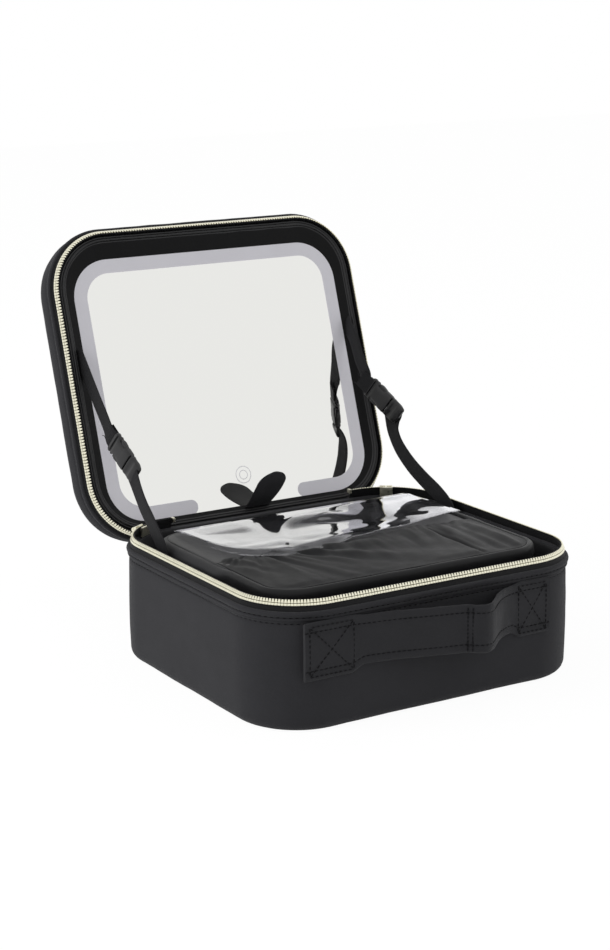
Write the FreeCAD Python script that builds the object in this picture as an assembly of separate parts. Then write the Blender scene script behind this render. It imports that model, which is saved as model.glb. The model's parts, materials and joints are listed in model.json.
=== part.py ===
import FreeCAD, Part
import math
import os

# Soft-sided makeup train case with a lit mirror in its lid, standing open on its straps.
# Millimetres, +Z up, -Y towards the front wall with the handle, origin on the floor under
# the middle of the lower case. The lid is drawn shut, then swung open about its fabric hinge.

Vec = FreeCAD.Vector

# Outside of the case
CASE_WIDTH = 260.0
CASE_DEPTH = 233.0
SPLIT_HEIGHT = 89.0  # floor to the split line of the zip
LID_HEIGHT = 31.0  # split line to the top of the shut lid
CORNER_RADIUS = 47.0
EDGE_ROUND = 6.0

# Layers of the walls
WALL = 5.0
LINING = 1.0
LAYER_GAP = 0.1
BOARD = 2.0
RIM_DROP = 7.0  # split line to the stiff edge of either half
WELT_PROUD = 1.2
WELT_HEIGHT = 5.5
WELT_DROP = 0.5  # stiff edge to the near side of the welt

# Fabric hinge of the lid
HINGE_Y = 117.0
HINGE_Z = 75.3
LID_OPEN_DEG = 108.4
HINGE_STRIP_HALF = 76.0
HINGE_STRIP_THICK = 1.0
HINGE_STRIP_TAB = 8.0  # sewn width on either half
HINGE_STRIP_LAP = 2.0  # stiff edge of the lid to the sewn width

# Zip between the halves
ZIP_INSET = 3.0
TAPE_THICK = 1.0
CHAIN_THICK = 2.6
CHAIN_HEIGHT = 1.7
CHAIN_GAP = 1.2
ZIP_END_HALF = 78.0
STOP_LENGTH = 2.0
STOP_HALF_THICK = 2.0
STOP_HEIGHT = 3.0
SLIDER_REST_DEG = 58.0
SLIDER_HALF_LENGTH = 5.0
SLIDER_PLATE = 1.4
SLIDER_CLEAR = 0.5
SLIDER_LIFT = 0.3  # plates above the stiff edge and above the split line
SLIDER_POST = 2.0
POST_HEIGHT = 0.6
PULL_LENGTH = 30.0
PULL_WIDTH = 6.0
PULL_THICK = 1.2
PULL_NECK = 2.0
PULL_NECK_WIDTH = 3.2
BAIL_RADIUS = 0.7
BAIL_CLEAR = 0.1
BAIL_STAND_OFF = 2.4
BAIL_RISE = 0.5
BAIL_INSET = 1.4
BAIL_FOOT = 1.0
EYE_WALL = 0.9
EYE_END_CLEAR = 0.4

# Lit mirror in the lid
MIRROR_WIDTH = 227.0
MIRROR_LENGTH = 197.5
MIRROR_CENTRE_Y = 4.25
MIRROR_RADIUS = 31.0
MIRROR_THICK = 2.0
MIRROR_DROP = 5.0  # split line to the mirror face
LIGHT_BAND = 11.0
DIFFUSER_THICK = 2.0
LIP_DROP = 1.1  # split line to the rolled inner piping of the lid
SURROUND_THICK = 3.0
SURROUND_CLEAR = 0.3
SOCKET_X = 117.8
SOCKET_Y = 40.0
SOCKET_SIZE = (3.2, 9.0, 7.3)
TRAY_WALL = 1.5
LED_COUNT_LONG = 9
LED_COUNT_SHORT = 7
LED_SIZE = 3.2
LED_HEIGHT = 1.0
STRIP_THICK = 1.1
STRIP_INSETS = (2.0, 8.0)
TOUCH_X = 2.0
TOUCH_Y = 79.8
TOUCH_RADIUS = 7.0
TOUCH_THICK = 1.0
CIRCUIT_HALF_WIDTH = 25.0
CIRCUIT_Y = (44.0, 74.0)
CIRCUIT_THICK = 1.5
BATTERY_HALF_WIDTH = 35.0
BATTERY_Y = (-35.0, 25.0)
BATTERY_THICK = 5.9
BATTERY_ROUND = 3.0
LEAD_RADIUS = 0.7
LEAD_CLEAR = 0.2
LEAD_X = 6.0
LEAD_Y = 60.0

# Pull tab at the hinge-side edge of the mirror, to shut the lid by
TAB_X = 8.5
TAB_ROOT_Y = 104.6
TAB_DROP = 3.9  # split line to the middle of the tab when it lies along the mirror
TAB_LENGTH = 43.0
TAB_WIDTH = 24.0
TAB_THICK = 1.4
TAB_STAND_DEG = 60.4  # how far it stands off the mirror

# Straps and buckles, in the gap between the brush panel and the side wall. The right-hand
# strap is let out further than the left and hangs slack.
STRAP_X = 117.5
STRAP_WIDTH = 15.0
STRAP_THICK = 1.4
STRAP_LID_Y = -26.0
BUCKLE_MIDDLE = {"left": (107.8, 141.0), "right": (123.0, 151.7)}
BUCKLE_SLOPE_DEG = {"left": 28.0, "right": 23.4}
STRAP_BENDS = {"left": [(93.5, 124.5), (69.0, 101.0), (55.0, 89.0)],
               "right": [(113.5, 128.5), (103.0, 117.5), (70.0, 100.0), (54.0, 91.0)]}
STRAP_FOOT = {"left": (50.0, 71.0), "right": (46.0, 71.0)}
FOOT_LENGTHS = (6.0, 2.0)  # sewn length below and above the foot
BUCKLE_WIDTH = 19.0
BUCKLE_THICK = 7.0
SOCKET_LENGTH = 27.0
PLUG_LENGTH = 15.0
TONGUE_LENGTH = 17.0
TONGUE_CLEAR = 1.0
TONGUE_ARM = 3.5
SOCKET_WALL = 1.5
BUCKLE_STRAP_GAP = 0.4

# Brush panel over the compartments
PANEL_HALF_WIDTH = 111.0
PANEL_FRONT = -90.0
PANEL_REAR = 86.0
PANEL_RADIUS = 25.0
PANEL_LOW = 78.0
PANEL_BOARD = 5.0
PANEL_TOP = 88.3
PIPING_WIDTH = 5.0
POCKET_REAR = -2.0
POCKET_FABRIC = 0.8
PANEL_STRIP_CLEAR = 0.3
PANEL_STRIP_THICK = 0.8
COVER_LEFT = -90.0
COVER_RIGHT = 105.0
COVER_FRONT = -5.0
COVER_REAR = 81.0
COVER_LOW = 88.7
COVER_THICK = 0.6
COVER_ROUND = 6.0

# Dividers under the panel
DIVIDER_THICK = 5.0
DIVIDER_X = 37.0
DIVIDER_Y = 36.0
DIVIDER_CLEAR = 0.4

# Carry handle on the front wall
HANDLE_LEFT = -107.0
HANDLE_RIGHT = 90.0
HANDLE_PATCH = 40.0
HANDLE_SLOPE = 20.0
HANDLE_REACH = 18.0
HANDLE_LEAN = 2.0
HANDLE_LOW = 37.0
HANDLE_HIGH = 76.0
HANDLE_THICK = 3.0
GRIP_LOW = 42.0
GRIP_HIGH = 74.0
GRIP_RUN = 4.0  # end of a patch to where the grip is at its narrow height

HALF_X = CASE_WIDTH / 2
HALF_Y = CASE_DEPTH / 2
BASE_RIM = SPLIT_HEIGHT - RIM_DROP
LID_RIM = SPLIT_HEIGHT + RIM_DROP
LID_TOP = SPLIT_HEIGHT + LID_HEIGHT
LINING_INSET = WALL + LAYER_GAP
INSIDE_INSET = LINING_INSET + LINING
INSIDE_FLOOR = WALL + BOARD + LINING + 3 * LAYER_GAP
MIRROR_FACE = SPLIT_HEIGHT + MIRROR_DROP
TRAY_BACK = LID_TOP - WALL - LAYER_GAP


def save(name, shape):
    """Write one piece to its own file."""
    shape.exportStep(f"parts/{name}.step")


def block(x_low, x_high, y_low, y_high, z_low, z_high):
    """Plain block between two corners."""
    low = Vec(x_low, y_low, z_low)
    return Part.makeBox(x_high - x_low, y_high - y_low, z_high - z_low, low)


def rounded_block(x_low, x_high, y_low, y_high, z_low, z_high, radius):
    """Block with its four upright edges rounded."""
    plain = block(x_low, x_high, y_low, y_high, z_low, z_high)
    upright = [edge for edge in plain.Edges if abs(edge.tangentAt(edge.FirstParameter).z) > 0.9]
    return plain.makeFillet(radius, upright)


def round_at(shape, height, radius):
    """Round every edge that lies at one height."""
    flat = 0.01
    level = []
    for edge in shape.Edges:
        box = edge.BoundBox
        if abs(box.ZMin - height) < flat and abs(box.ZMax - height) < flat:
            level.append(edge)
    return shape.makeFillet(radius, level)


def case_block(inset, z_low, z_high):
    """Block that follows the outline of the case, drawn in from it by the inset."""
    half_x = HALF_X - inset
    half_y = HALF_Y - inset
    return rounded_block(-half_x, half_x, -half_y, half_y, z_low, z_high, CORNER_RADIUS - inset)


def case_ring(inset_out, inset_in, z_low, z_high):
    """Band that follows the outline of the case between two insets."""
    hole = case_block(inset_in, z_low - 1, z_high + 1)
    return case_block(inset_out, z_low, z_high).cut(hole)


def open_at_rear(ring, half_gap):
    """Take out the stretch of a band that the fabric hinge of the rear wall fills."""
    rear = HALF_Y - CORNER_RADIUS
    return ring.cut(block(-half_gap, half_gap, rear, HALF_Y + 10, 0, LID_TOP))


def swing_open(shape):
    """Turn a piece of the shut lid to where it stands open."""
    turned = shape.copy()
    turned.rotate(Vec(0, HINGE_Y, HINGE_Z), Vec(1, 0, 0), -LID_OPEN_DEG)
    return turned


def swing_point(y, z):
    """Side-view point of the shut lid, turned to where it stands open."""
    turned = FreeCAD.Rotation(Vec(1, 0, 0), -LID_OPEN_DEG).multVec(Vec(0, y - HINGE_Y, z - HINGE_Z))
    return HINGE_Y + turned.y, HINGE_Z + turned.z


def side_view_prism(points, x_low, x_high):
    """Solid drawn as a closed outline of (y, z) points and run along X."""
    corners = [Vec(x_low, y, z) for y, z in points]
    face = Part.Face(Part.makePolygon(corners + corners[:1]))
    return face.extrude(Vec(x_high - x_low, 0, 0))


def ribbon_outline(path, width):
    """Outline of a flat ribbon of constant width, mitred, along a path of (y, z) points."""
    left = []
    right = []
    for index, (y, z) in enumerate(path):
        before = path[max(index - 1, 0)]
        after = path[min(index + 1, len(path) - 1)]
        here = (y, z)
        into = unit(before, here) if before != here else unit(here, after)
        out = unit(here, after) if after != here else into
        normal = (-(into[1] + out[1]), into[0] + out[0])
        scale = width / 2 / (normal[0] * -out[1] + normal[1] * out[0])
        left.append((y + normal[0] * scale, z + normal[1] * scale))
        right.append((y - normal[0] * scale, z - normal[1] * scale))
    return left + right[::-1]


def unit(start, end):
    """Direction from one (y, z) point to another."""
    length = math.dist(start, end)
    return (end[0] - start[0]) / length, (end[1] - start[1]) / length


def mirrored(shape):
    """Copy of a right-hand piece for the left side."""
    return shape.mirror(Vec(0, 0, 0), Vec(1, 0, 0))


def save_pair(name, right):
    """Write a right-hand piece and its left-hand twin."""
    save(f"{name}_right", right)
    save(f"{name}_left", mirrored(right))


def base_half():
    """Lower case: stiffened fabric shell, bottom board, lining and the welt under the zip."""
    outside = round_at(case_block(0, 0, BASE_RIM), 0, EDGE_ROUND)
    save("base_shell", outside.cut(case_block(WALL, WALL, BASE_RIM + 1)))
    board_inset = WALL + 1
    board_low = WALL + LAYER_GAP
    save("base_board", case_block(board_inset, board_low, board_low + BOARD))
    lining_low = board_low + BOARD + LAYER_GAP
    lining = case_block(LINING_INSET, lining_low, BASE_RIM)
    save("base_lining", lining.cut(case_block(INSIDE_INSET, lining_low + LINING, BASE_RIM + 1)))
    welt_high = BASE_RIM - WELT_DROP
    welt = case_ring(-WELT_PROUD, -LAYER_GAP / 2, welt_high - WELT_HEIGHT, welt_high)
    save("base_welt", open_at_rear(welt, ZIP_END_HALF))


def lid_half():
    """Lid: stiffened fabric shell, welt, rolled inner piping, mirror surround and pull tab."""
    outside = round_at(case_block(0, LID_RIM, LID_TOP), LID_TOP, EDGE_ROUND)
    shell = outside.cut(case_block(WALL, LID_RIM - 1, LID_TOP - WALL))
    save("lid_shell", swing_open(shell))
    welt_low = LID_RIM + WELT_DROP
    welt = case_ring(-WELT_PROUD, -LAYER_GAP / 2, welt_low, welt_low + WELT_HEIGHT)
    save("lid_welt", swing_open(open_at_rear(welt, ZIP_END_HALF)))
    piping_low = SPLIT_HEIGHT + LIP_DROP
    piping_high = MIRROR_FACE + LAYER_GAP
    piping = case_ring(LINING_INSET, LINING_INSET + PIPING_WIDTH, piping_low, piping_high)
    roll = 0.44 * PIPING_WIDTH
    save("lid_piping", swing_open(round_at(piping, piping_low, roll)))
    surround_low = piping_high + LAYER_GAP
    surround_high = surround_low + SURROUND_THICK
    surround = case_block(LINING_INSET, surround_low, surround_high)
    opening = mirror_block(TRAY_WALL + SURROUND_CLEAR, surround_low - 1, surround_high + 1)
    surround = surround.cut(opening).cut(charging_socket(surround_low, LAYER_GAP))
    save("mirror_surround", swing_open(surround))
    save("charging_socket", swing_open(charging_socket(surround_low, 0)))
    save("pull_tab", swing_open(pull_tab()))


def charging_socket(low, grow):
    """Small charging socket let into the right-hand side of the surround."""
    half_x = SOCKET_SIZE[0] / 2 + grow
    half_y = SOCKET_SIZE[1] / 2 + grow
    corner = 0.9 * half_x
    return rounded_block(SOCKET_X - half_x, SOCKET_X + half_x, SOCKET_Y - half_y, SOCKET_Y + half_y,
                         low, low + SOCKET_SIZE[2], corner)


def pull_tab():
    """Tongue of doubled webbing with a round end, sewn in at its root and standing off the mirror."""
    half = TAB_WIDTH / 2
    middle = SPLIT_HEIGHT + TAB_DROP
    low = middle - TAB_THICK / 2
    round_y = TAB_ROOT_Y - TAB_LENGTH + half
    tongue = block(TAB_X - half, TAB_X + half, round_y, TAB_ROOT_Y, low, low + TAB_THICK)
    tongue = tongue.fuse(Part.makeCylinder(half, TAB_THICK, Vec(TAB_X, round_y, low))).removeSplitter()
    tongue.rotate(Vec(TAB_X, TAB_ROOT_Y, middle), Vec(1, 0, 0), TAB_STAND_DEG)
    return tongue


def mirror_block(grow, z_low, z_high):
    """Block that follows the outline of the mirror, let out by an amount."""
    half_x = MIRROR_WIDTH / 2 + grow
    half_y = MIRROR_LENGTH / 2 + grow
    return rounded_block(-half_x, half_x, MIRROR_CENTRE_Y - half_y, MIRROR_CENTRE_Y + half_y,
                         z_low, z_high, MIRROR_RADIUS + grow)


def mirror_ring(inset_out, inset_in, z_low, z_high):
    """Band that follows the outline of the mirror between two insets."""
    hole = mirror_block(-inset_in, z_low - 1, z_high + 1)
    return mirror_block(-inset_out, z_low, z_high).cut(hole)


def lit_mirror():
    """Mirror glass in its tray, with the light band, lamps, touch pad, board and battery behind."""
    glass_back = MIRROR_FACE + MIRROR_THICK
    back_face = TRAY_BACK - TRAY_WALL
    tray = mirror_block(TRAY_WALL, MIRROR_FACE, TRAY_BACK)
    save("mirror_tray", swing_open(tray.cut(mirror_block(LAYER_GAP, MIRROR_FACE - 1, back_face))))
    save("mirror_glass", swing_open(mirror_block(0, MIRROR_FACE, glass_back)))
    diffuser_low = glass_back + LAYER_GAP
    diffuser = mirror_ring(0, LIGHT_BAND, diffuser_low, diffuser_low + DIFFUSER_THICK)
    save("light_diffuser", swing_open(diffuser))
    mounting = back_face - LAYER_GAP
    strip_low = mounting - STRIP_THICK
    save("led_strip", swing_open(mirror_ring(*STRIP_INSETS, strip_low, mounting)))
    save("led_chips", swing_open(Part.makeCompound(led_chips(strip_low - LAYER_GAP))))
    pad_middle = Vec(TOUCH_X, TOUCH_Y, diffuser_low)
    save("touch_pad", swing_open(Part.makeCylinder(TOUCH_RADIUS, TOUCH_THICK, pad_middle)))
    board = block(-CIRCUIT_HALF_WIDTH, CIRCUIT_HALF_WIDTH, *CIRCUIT_Y, mounting - CIRCUIT_THICK, mounting)
    save("control_board", swing_open(board))
    battery = rounded_block(-BATTERY_HALF_WIDTH, BATTERY_HALF_WIDTH, *BATTERY_Y,
                            mounting - BATTERY_THICK, mounting, BATTERY_ROUND)
    save("battery_pack", swing_open(battery))
    save("wire_leads", swing_open(Part.makeCompound(wire_leads(mounting - CIRCUIT_THICK / 2))))


def led_chips(top):
    """Lamps spaced evenly along the straight runs of the light band."""
    half = LED_SIZE / 2
    chips = []
    run_x = MIRROR_WIDTH / 2 - MIRROR_RADIUS
    run_y = MIRROR_LENGTH / 2 - MIRROR_RADIUS
    reach_x = MIRROR_WIDTH / 2 - LIGHT_BAND / 2
    reach_y = MIRROR_LENGTH / 2 - LIGHT_BAND / 2
    places = []
    for index in range(LED_COUNT_LONG):
        along = -run_x + 2 * run_x * index / (LED_COUNT_LONG - 1)
        places += [(along, -reach_y), (along, reach_y)]
    for index in range(LED_COUNT_SHORT):
        along = -run_y + 2 * run_y * index / (LED_COUNT_SHORT - 1)
        places += [(-reach_x, along), (reach_x, along)]
    for x, y in places:
        middle_y = MIRROR_CENTRE_Y + y
        chips.append(block(x - half, x + half, middle_y - half, middle_y + half, top - LED_HEIGHT, top))
    return chips


def wire_leads(height):
    """Insulated leads: battery to board twice, board to the lamp strip."""
    leads = []
    battery_end = BATTERY_Y[1] + LEAD_CLEAR
    reach_y = CIRCUIT_Y[0] - LEAD_CLEAR - battery_end
    for x in (-LEAD_X, LEAD_X):
        start = Vec(x, battery_end, height)
        leads.append(Part.makeCylinder(LEAD_RADIUS, reach_y, start, Vec(0, 1, 0)))
    start_x = CIRCUIT_HALF_WIDTH + LEAD_CLEAR
    reach_x = MIRROR_WIDTH / 2 - STRIP_INSETS[1] - LEAD_CLEAR - start_x
    start = Vec(start_x, LEAD_Y, height)
    leads.append(Part.makeCylinder(LEAD_RADIUS, reach_x, start, Vec(1, 0, 0)))
    return leads


def zip_halves():
    """Zip tape and chain on both halves, with the end stops on the lower tape."""
    tape_out = ZIP_INSET - TAPE_THICK / 2
    chain_out = ZIP_INSET - CHAIN_THICK / 2
    for name, direction in (("base", -1), ("lid", 1)):
        chain_near = SPLIT_HEIGHT + direction * CHAIN_GAP / 2
        chain_far = chain_near + direction * CHAIN_HEIGHT
        tape_far = SPLIT_HEIGHT + direction * (RIM_DROP - LAYER_GAP)
        chain = case_ring(chain_out, chain_out + CHAIN_THICK, *sorted((chain_near, chain_far)))
        tape = case_ring(tape_out, tape_out + TAPE_THICK, *sorted((chain_far, tape_far)))
        chain = open_at_rear(chain, ZIP_END_HALF)
        tape = open_at_rear(tape, ZIP_END_HALF)
        if name == "lid":
            chain = swing_open(chain)
            tape = swing_open(tape)
        save(f"{name}_zip_tape", tape)
        save(f"{name}_zip_chain", chain)
    chain_low = SPLIT_HEIGHT - CHAIN_GAP / 2 - CHAIN_HEIGHT
    rear = HALF_Y - ZIP_INSET
    stop = block(ZIP_END_HALF - STOP_LENGTH, ZIP_END_HALF - LAYER_GAP, rear - STOP_HALF_THICK,
                 rear + STOP_HALF_THICK, chain_low, chain_low + STOP_HEIGHT)
    save("zip_end_stops", Part.makeCompound([stop, mirrored(stop)]))


def place_on_corner(shape):
    """Carry a piece from the side run round the right rear corner to where the slider is parked."""
    turned = shape.copy()
    centre = Vec(HALF_X - CORNER_RADIUS, HALF_Y - CORNER_RADIUS, 0)
    turned.rotate(centre, Vec(0, 0, 1), SLIDER_REST_DEG)
    return turned


def zip_sliders():
    """Sliders that ride on the lower chain, each with a pull hanging from its bail."""
    middle_y = HALF_Y - CORNER_RADIUS
    chain_x = HALF_X - ZIP_INSET
    half = SLIDER_HALF_LENGTH
    low = BASE_RIM + SLIDER_LIFT
    high = SPLIT_HEIGHT + SLIDER_LIFT
    outer_low = chain_x + CHAIN_THICK / 2 + SLIDER_CLEAR
    outer_high = outer_low + SLIDER_PLATE
    inner_high = chain_x - CHAIN_THICK / 2 - 2 * SLIDER_CLEAR
    outer = block(outer_low, outer_high, middle_y - half, middle_y + half, low, high)
    inner = block(inner_high - SLIDER_PLATE, inner_high, middle_y - half, middle_y + half, low, high)
    post_half = SLIDER_POST / 2
    post = block(inner_high, outer_low, middle_y - post_half, middle_y + post_half,
                 high - POST_HEIGHT, high)
    bail_x = outer_high + BAIL_STAND_OFF
    bail_z = (low + high) / 2 + BAIL_RISE
    bail_half = half - BAIL_INSET
    axis = Vec(0, 1, 0)
    bail = Part.makeCylinder(BAIL_RADIUS, 2 * bail_half, Vec(bail_x, middle_y - bail_half, bail_z), axis)
    slider = outer.fuse([inner, post, bail])
    for end in (-bail_half, bail_half - BAIL_FOOT):
        y_low = middle_y + end
        slider = slider.fuse(block(outer_high, bail_x + BAIL_RADIUS, y_low, y_low + BAIL_FOOT,
                                   bail_z - BAIL_RADIUS, bail_z + BAIL_RADIUS))
    save_pair("zip_slider", place_on_corner(slider.removeSplitter()))
    eye_half = bail_half - BAIL_FOOT - EYE_END_CLEAR
    eye_start = Vec(bail_x, middle_y - eye_half, bail_z)
    eye_bore = BAIL_RADIUS + BAIL_CLEAR
    eye = Part.makeCylinder(eye_bore + EYE_WALL, 2 * eye_half, eye_start, axis)
    blade = rounded_blade(bail_x, middle_y, bail_z - eye_bore - EYE_WALL / 3)
    pull = eye.fuse(blade)
    pull = pull.cut(Part.makeCylinder(eye_bore, 2 * half, Vec(bail_x, middle_y - half, bail_z), axis))
    save_pair("zip_pull", place_on_corner(pull.removeSplitter()))


def rounded_blade(x, y, top):
    """Flat pull that hangs from the eye, with a round lower end."""
    half = PULL_WIDTH / 2
    neck_half = PULL_NECK_WIDTH / 2
    low = top - PULL_LENGTH + half
    near = x - PULL_THICK / 2
    far = x + PULL_THICK / 2
    round_end = Part.makeCylinder(half, PULL_THICK, Vec(near, y, low), Vec(1, 0, 0))
    body = block(near, far, y - half, y + half, low, top - PULL_NECK)
    stem = block(near, far, y - neck_half, y + neck_half, top - PULL_NECK, top)
    return body.fuse([round_end, stem])


def lid_hinge_strip():
    """Fabric hinge across the rear wall, sewn to both halves."""
    face_y = HALF_Y + LAYER_GAP / 2 + HINGE_STRIP_THICK / 2
    sewn_low = LID_RIM + HINGE_STRIP_LAP
    lid_near = swing_point(face_y, sewn_low)
    lid_far = swing_point(face_y, sewn_low + HINGE_STRIP_TAB)
    base_low = (face_y, HINGE_Z - HINGE_STRIP_TAB)
    path = [base_low, (face_y, HINGE_Z), lid_near, lid_far]
    outline = ribbon_outline(path, HINGE_STRIP_THICK)
    save("lid_hinge_strip", side_view_prism(outline, -HINGE_STRIP_HALF, HINGE_STRIP_HALF))


def along_buckle(side, distance):
    """Side-view point on the middle line of a buckle, down the strap from its middle."""
    slope = math.radians(BUCKLE_SLOPE_DEG[side])
    y, z = BUCKLE_MIDDLE[side]
    return y - distance * math.cos(slope), z - distance * math.sin(slope)


def strap_prism(side, outline, thick):
    """Solid drawn in side view in the middle plane of a strap, with equal thickness to both sides."""
    middle = STRAP_X if side == "right" else -STRAP_X
    return side_view_prism(outline, middle - thick / 2, middle + thick / 2)


def buckle_slab(side, start, end, width, thick):
    """Slab along a buckle between two distances from its middle."""
    outline = ribbon_outline([along_buckle(side, start), along_buckle(side, end)], width)
    return strap_prism(side, outline, thick)


def strap(side):
    """Webbing strap that stops the lid, with a side-release buckle in the middle."""
    bottom = (SOCKET_LENGTH + PLUG_LENGTH) / 2
    top = -bottom
    seam = top + SOCKET_LENGTH
    anchor = swing_point(STRAP_LID_Y, MIRROR_FACE)
    upper = ribbon_outline([anchor, along_buckle(side, top)], STRAP_WIDTH)
    behind_surround = swing_open(case_block(-STRAP_WIDTH, MIRROR_FACE, LID_TOP + STRAP_WIDTH))
    buckle_room = buckle_slab(side, top - LAYER_GAP, bottom + BUCKLE_STRAP_GAP,
                              BUCKLE_WIDTH + 2 * BUCKLE_STRAP_GAP, BUCKLE_THICK)
    webbing = strap_prism(side, upper, STRAP_THICK).cut(behind_surround)
    save(f"strap_upper_{side}", webbing.cut(buckle_room))
    cavity_width = BUCKLE_WIDTH - 2 * SOCKET_WALL
    cavity_thick = BUCKLE_THICK - 2 * SOCKET_WALL
    cavity_top = seam - TONGUE_LENGTH - TONGUE_CLEAR
    cavity = buckle_slab(side, cavity_top, seam + 1, cavity_width, cavity_thick)
    save(f"buckle_socket_{side}", buckle_slab(side, top, seam, BUCKLE_WIDTH, BUCKLE_THICK).cut(cavity))
    plug = buckle_slab(side, seam + LAYER_GAP, bottom, BUCKLE_WIDTH, BUCKLE_THICK)
    tongue_width = cavity_width - TONGUE_CLEAR
    tongue = buckle_slab(side, seam - TONGUE_LENGTH, seam + 1, tongue_width, cavity_thick - TONGUE_CLEAR)
    slot = buckle_slab(side, cavity_top, seam - TONGUE_CLEAR, tongue_width - 2 * TONGUE_ARM, BUCKLE_THICK)
    save(f"buckle_plug_{side}", plug.fuse(tongue.cut(slot)).removeSplitter())
    foot_y, foot_z = STRAP_FOOT[side]
    path = [along_buckle(side, bottom - PLUG_LENGTH / 2)] + STRAP_BENDS[side] + [STRAP_FOOT[side]]
    webbing = strap_prism(side, ribbon_outline(path, STRAP_WIDTH), STRAP_THICK).cut(buckle_room)
    foot = block(STRAP_X - STRAP_THICK / 2, HALF_X - INSIDE_INSET - LAYER_GAP,
                 foot_y - STRAP_WIDTH / 2, foot_y + STRAP_WIDTH / 2,
                 foot_z - FOOT_LENGTHS[0], foot_z + FOOT_LENGTHS[1])
    foot = foot if side == "right" else mirrored(foot)
    save(f"strap_lower_{side}", webbing.fuse(foot).removeSplitter())


def panel_block(inset, z_low, z_high):
    """Block that follows the outline of the brush panel, drawn in by the inset."""
    half = PANEL_HALF_WIDTH - inset
    return rounded_block(-half, half, PANEL_FRONT + inset, PANEL_REAR - inset, z_low, z_high,
                         PANEL_RADIUS - inset)


def brush_panel():
    """Lift-up brush panel: board, piped edge, gathered pocket, clear cover and fabric hinge."""
    inner = PIPING_WIDTH + LAYER_GAP
    board_top = PANEL_LOW + PANEL_BOARD
    save("panel_board", panel_block(inner, PANEL_LOW, board_top))
    piping = panel_block(0, PANEL_LOW, PANEL_TOP).cut(panel_block(PIPING_WIDTH, 0, LID_TOP))
    save("panel_piping", piping)
    wall_inset = inner + POCKET_FABRIC
    pocket = panel_block(inner, board_top + LAYER_GAP, PANEL_TOP)
    pocket = pocket.cut(panel_block(wall_inset, 0, PANEL_TOP - POCKET_FABRIC))
    half = PANEL_HALF_WIDTH
    save("brush_pocket", pocket.cut(block(-half, half, POCKET_REAR, PANEL_REAR, 0, LID_TOP)))
    cover = rounded_block(COVER_LEFT, COVER_RIGHT, COVER_FRONT, COVER_REAR,
                          COVER_LOW, COVER_LOW + COVER_THICK, COVER_ROUND)
    save("clear_cover", cover)
    strip_front = -HALF_Y + INSIDE_INSET + LAYER_GAP
    strip_half = PANEL_HALF_WIDTH - PANEL_RADIUS
    strip_low = PANEL_LOW - PANEL_STRIP_CLEAR
    strip = block(-strip_half, strip_half, strip_front, PANEL_FRONT - PANEL_STRIP_CLEAR,
                  strip_low, strip_low + PANEL_STRIP_THICK)
    save("panel_hinge_strip", strip)


def dividers():
    """Padded dividers that split the lower case and carry the panel."""
    half = DIVIDER_THICK / 2
    top = PANEL_LOW - DIVIDER_CLEAR
    reach = HALF_Y - INSIDE_INSET - LAYER_GAP
    long_divider = block(DIVIDER_X - half, DIVIDER_X + half, -reach, reach, INSIDE_FLOOR, top)
    save_pair("divider_long", long_divider)
    span = DIVIDER_X - half - LAYER_GAP
    for name, y in (("front", -DIVIDER_Y), ("rear", DIVIDER_Y)):
        save(f"divider_short_{name}", block(-span, span, y - half, y + half, INSIDE_FLOOR, top))


def carry_handle():
    """Flat fabric handle, sewn down at both ends, with a narrower grip bowed out between them."""
    wall_y = -HALF_Y - LAYER_GAP
    near = wall_y - HANDLE_THICK
    left_end = HANDLE_LEFT + HANDLE_PATCH
    right_end = HANDLE_RIGHT - HANDLE_PATCH
    reach = near - HANDLE_REACH
    inner = [(HANDLE_LEFT, wall_y), (left_end, wall_y),
             (left_end + HANDLE_SLOPE, wall_y - HANDLE_REACH),
             (right_end - HANDLE_SLOPE, wall_y - HANDLE_REACH),
             (right_end, wall_y), (HANDLE_RIGHT, wall_y)]
    outer = [(HANDLE_RIGHT, near), (right_end + HANDLE_LEAN, near),
             (right_end - HANDLE_SLOPE + HANDLE_LEAN, reach),
             (left_end + HANDLE_SLOPE - HANDLE_LEAN, reach),
             (left_end - HANDLE_LEAN, near), (HANDLE_LEFT, near)]
    corners = [Vec(x, y, HANDLE_LOW) for x, y in inner + outer]
    face = Part.Face(Part.makePolygon(corners + corners[:1]))
    handle = face.extrude(Vec(0, 0, HANDLE_HIGH - HANDLE_LOW))
    for z_low, z_high in ((0, GRIP_LOW), (GRIP_HIGH, LID_TOP)):
        handle = handle.cut(block(left_end + GRIP_RUN, right_end - GRIP_RUN, reach - 1, wall_y + 1,
                                  z_low, z_high))
    save("carry_handle", handle)


os.makedirs("parts", exist_ok=True)
base_half()
lid_half()
lit_mirror()
zip_halves()
zip_sliders()
lid_hinge_strip()
strap("left")
strap("right")
brush_panel()
dividers()
carry_handle()
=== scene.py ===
"""Looks of a soft-sided makeup train case that stands open, with a lit mirror in its lid.

Metres, +Z up, -Y towards the front wall with the handle. The two halves share their sections, which
are measured from the split line of the zip; pieces of the lid are modelled shut and then swung open.
"""
import json
import math

import bmesh
import bpy
from mathutils import Matrix, Vector, noise


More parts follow.
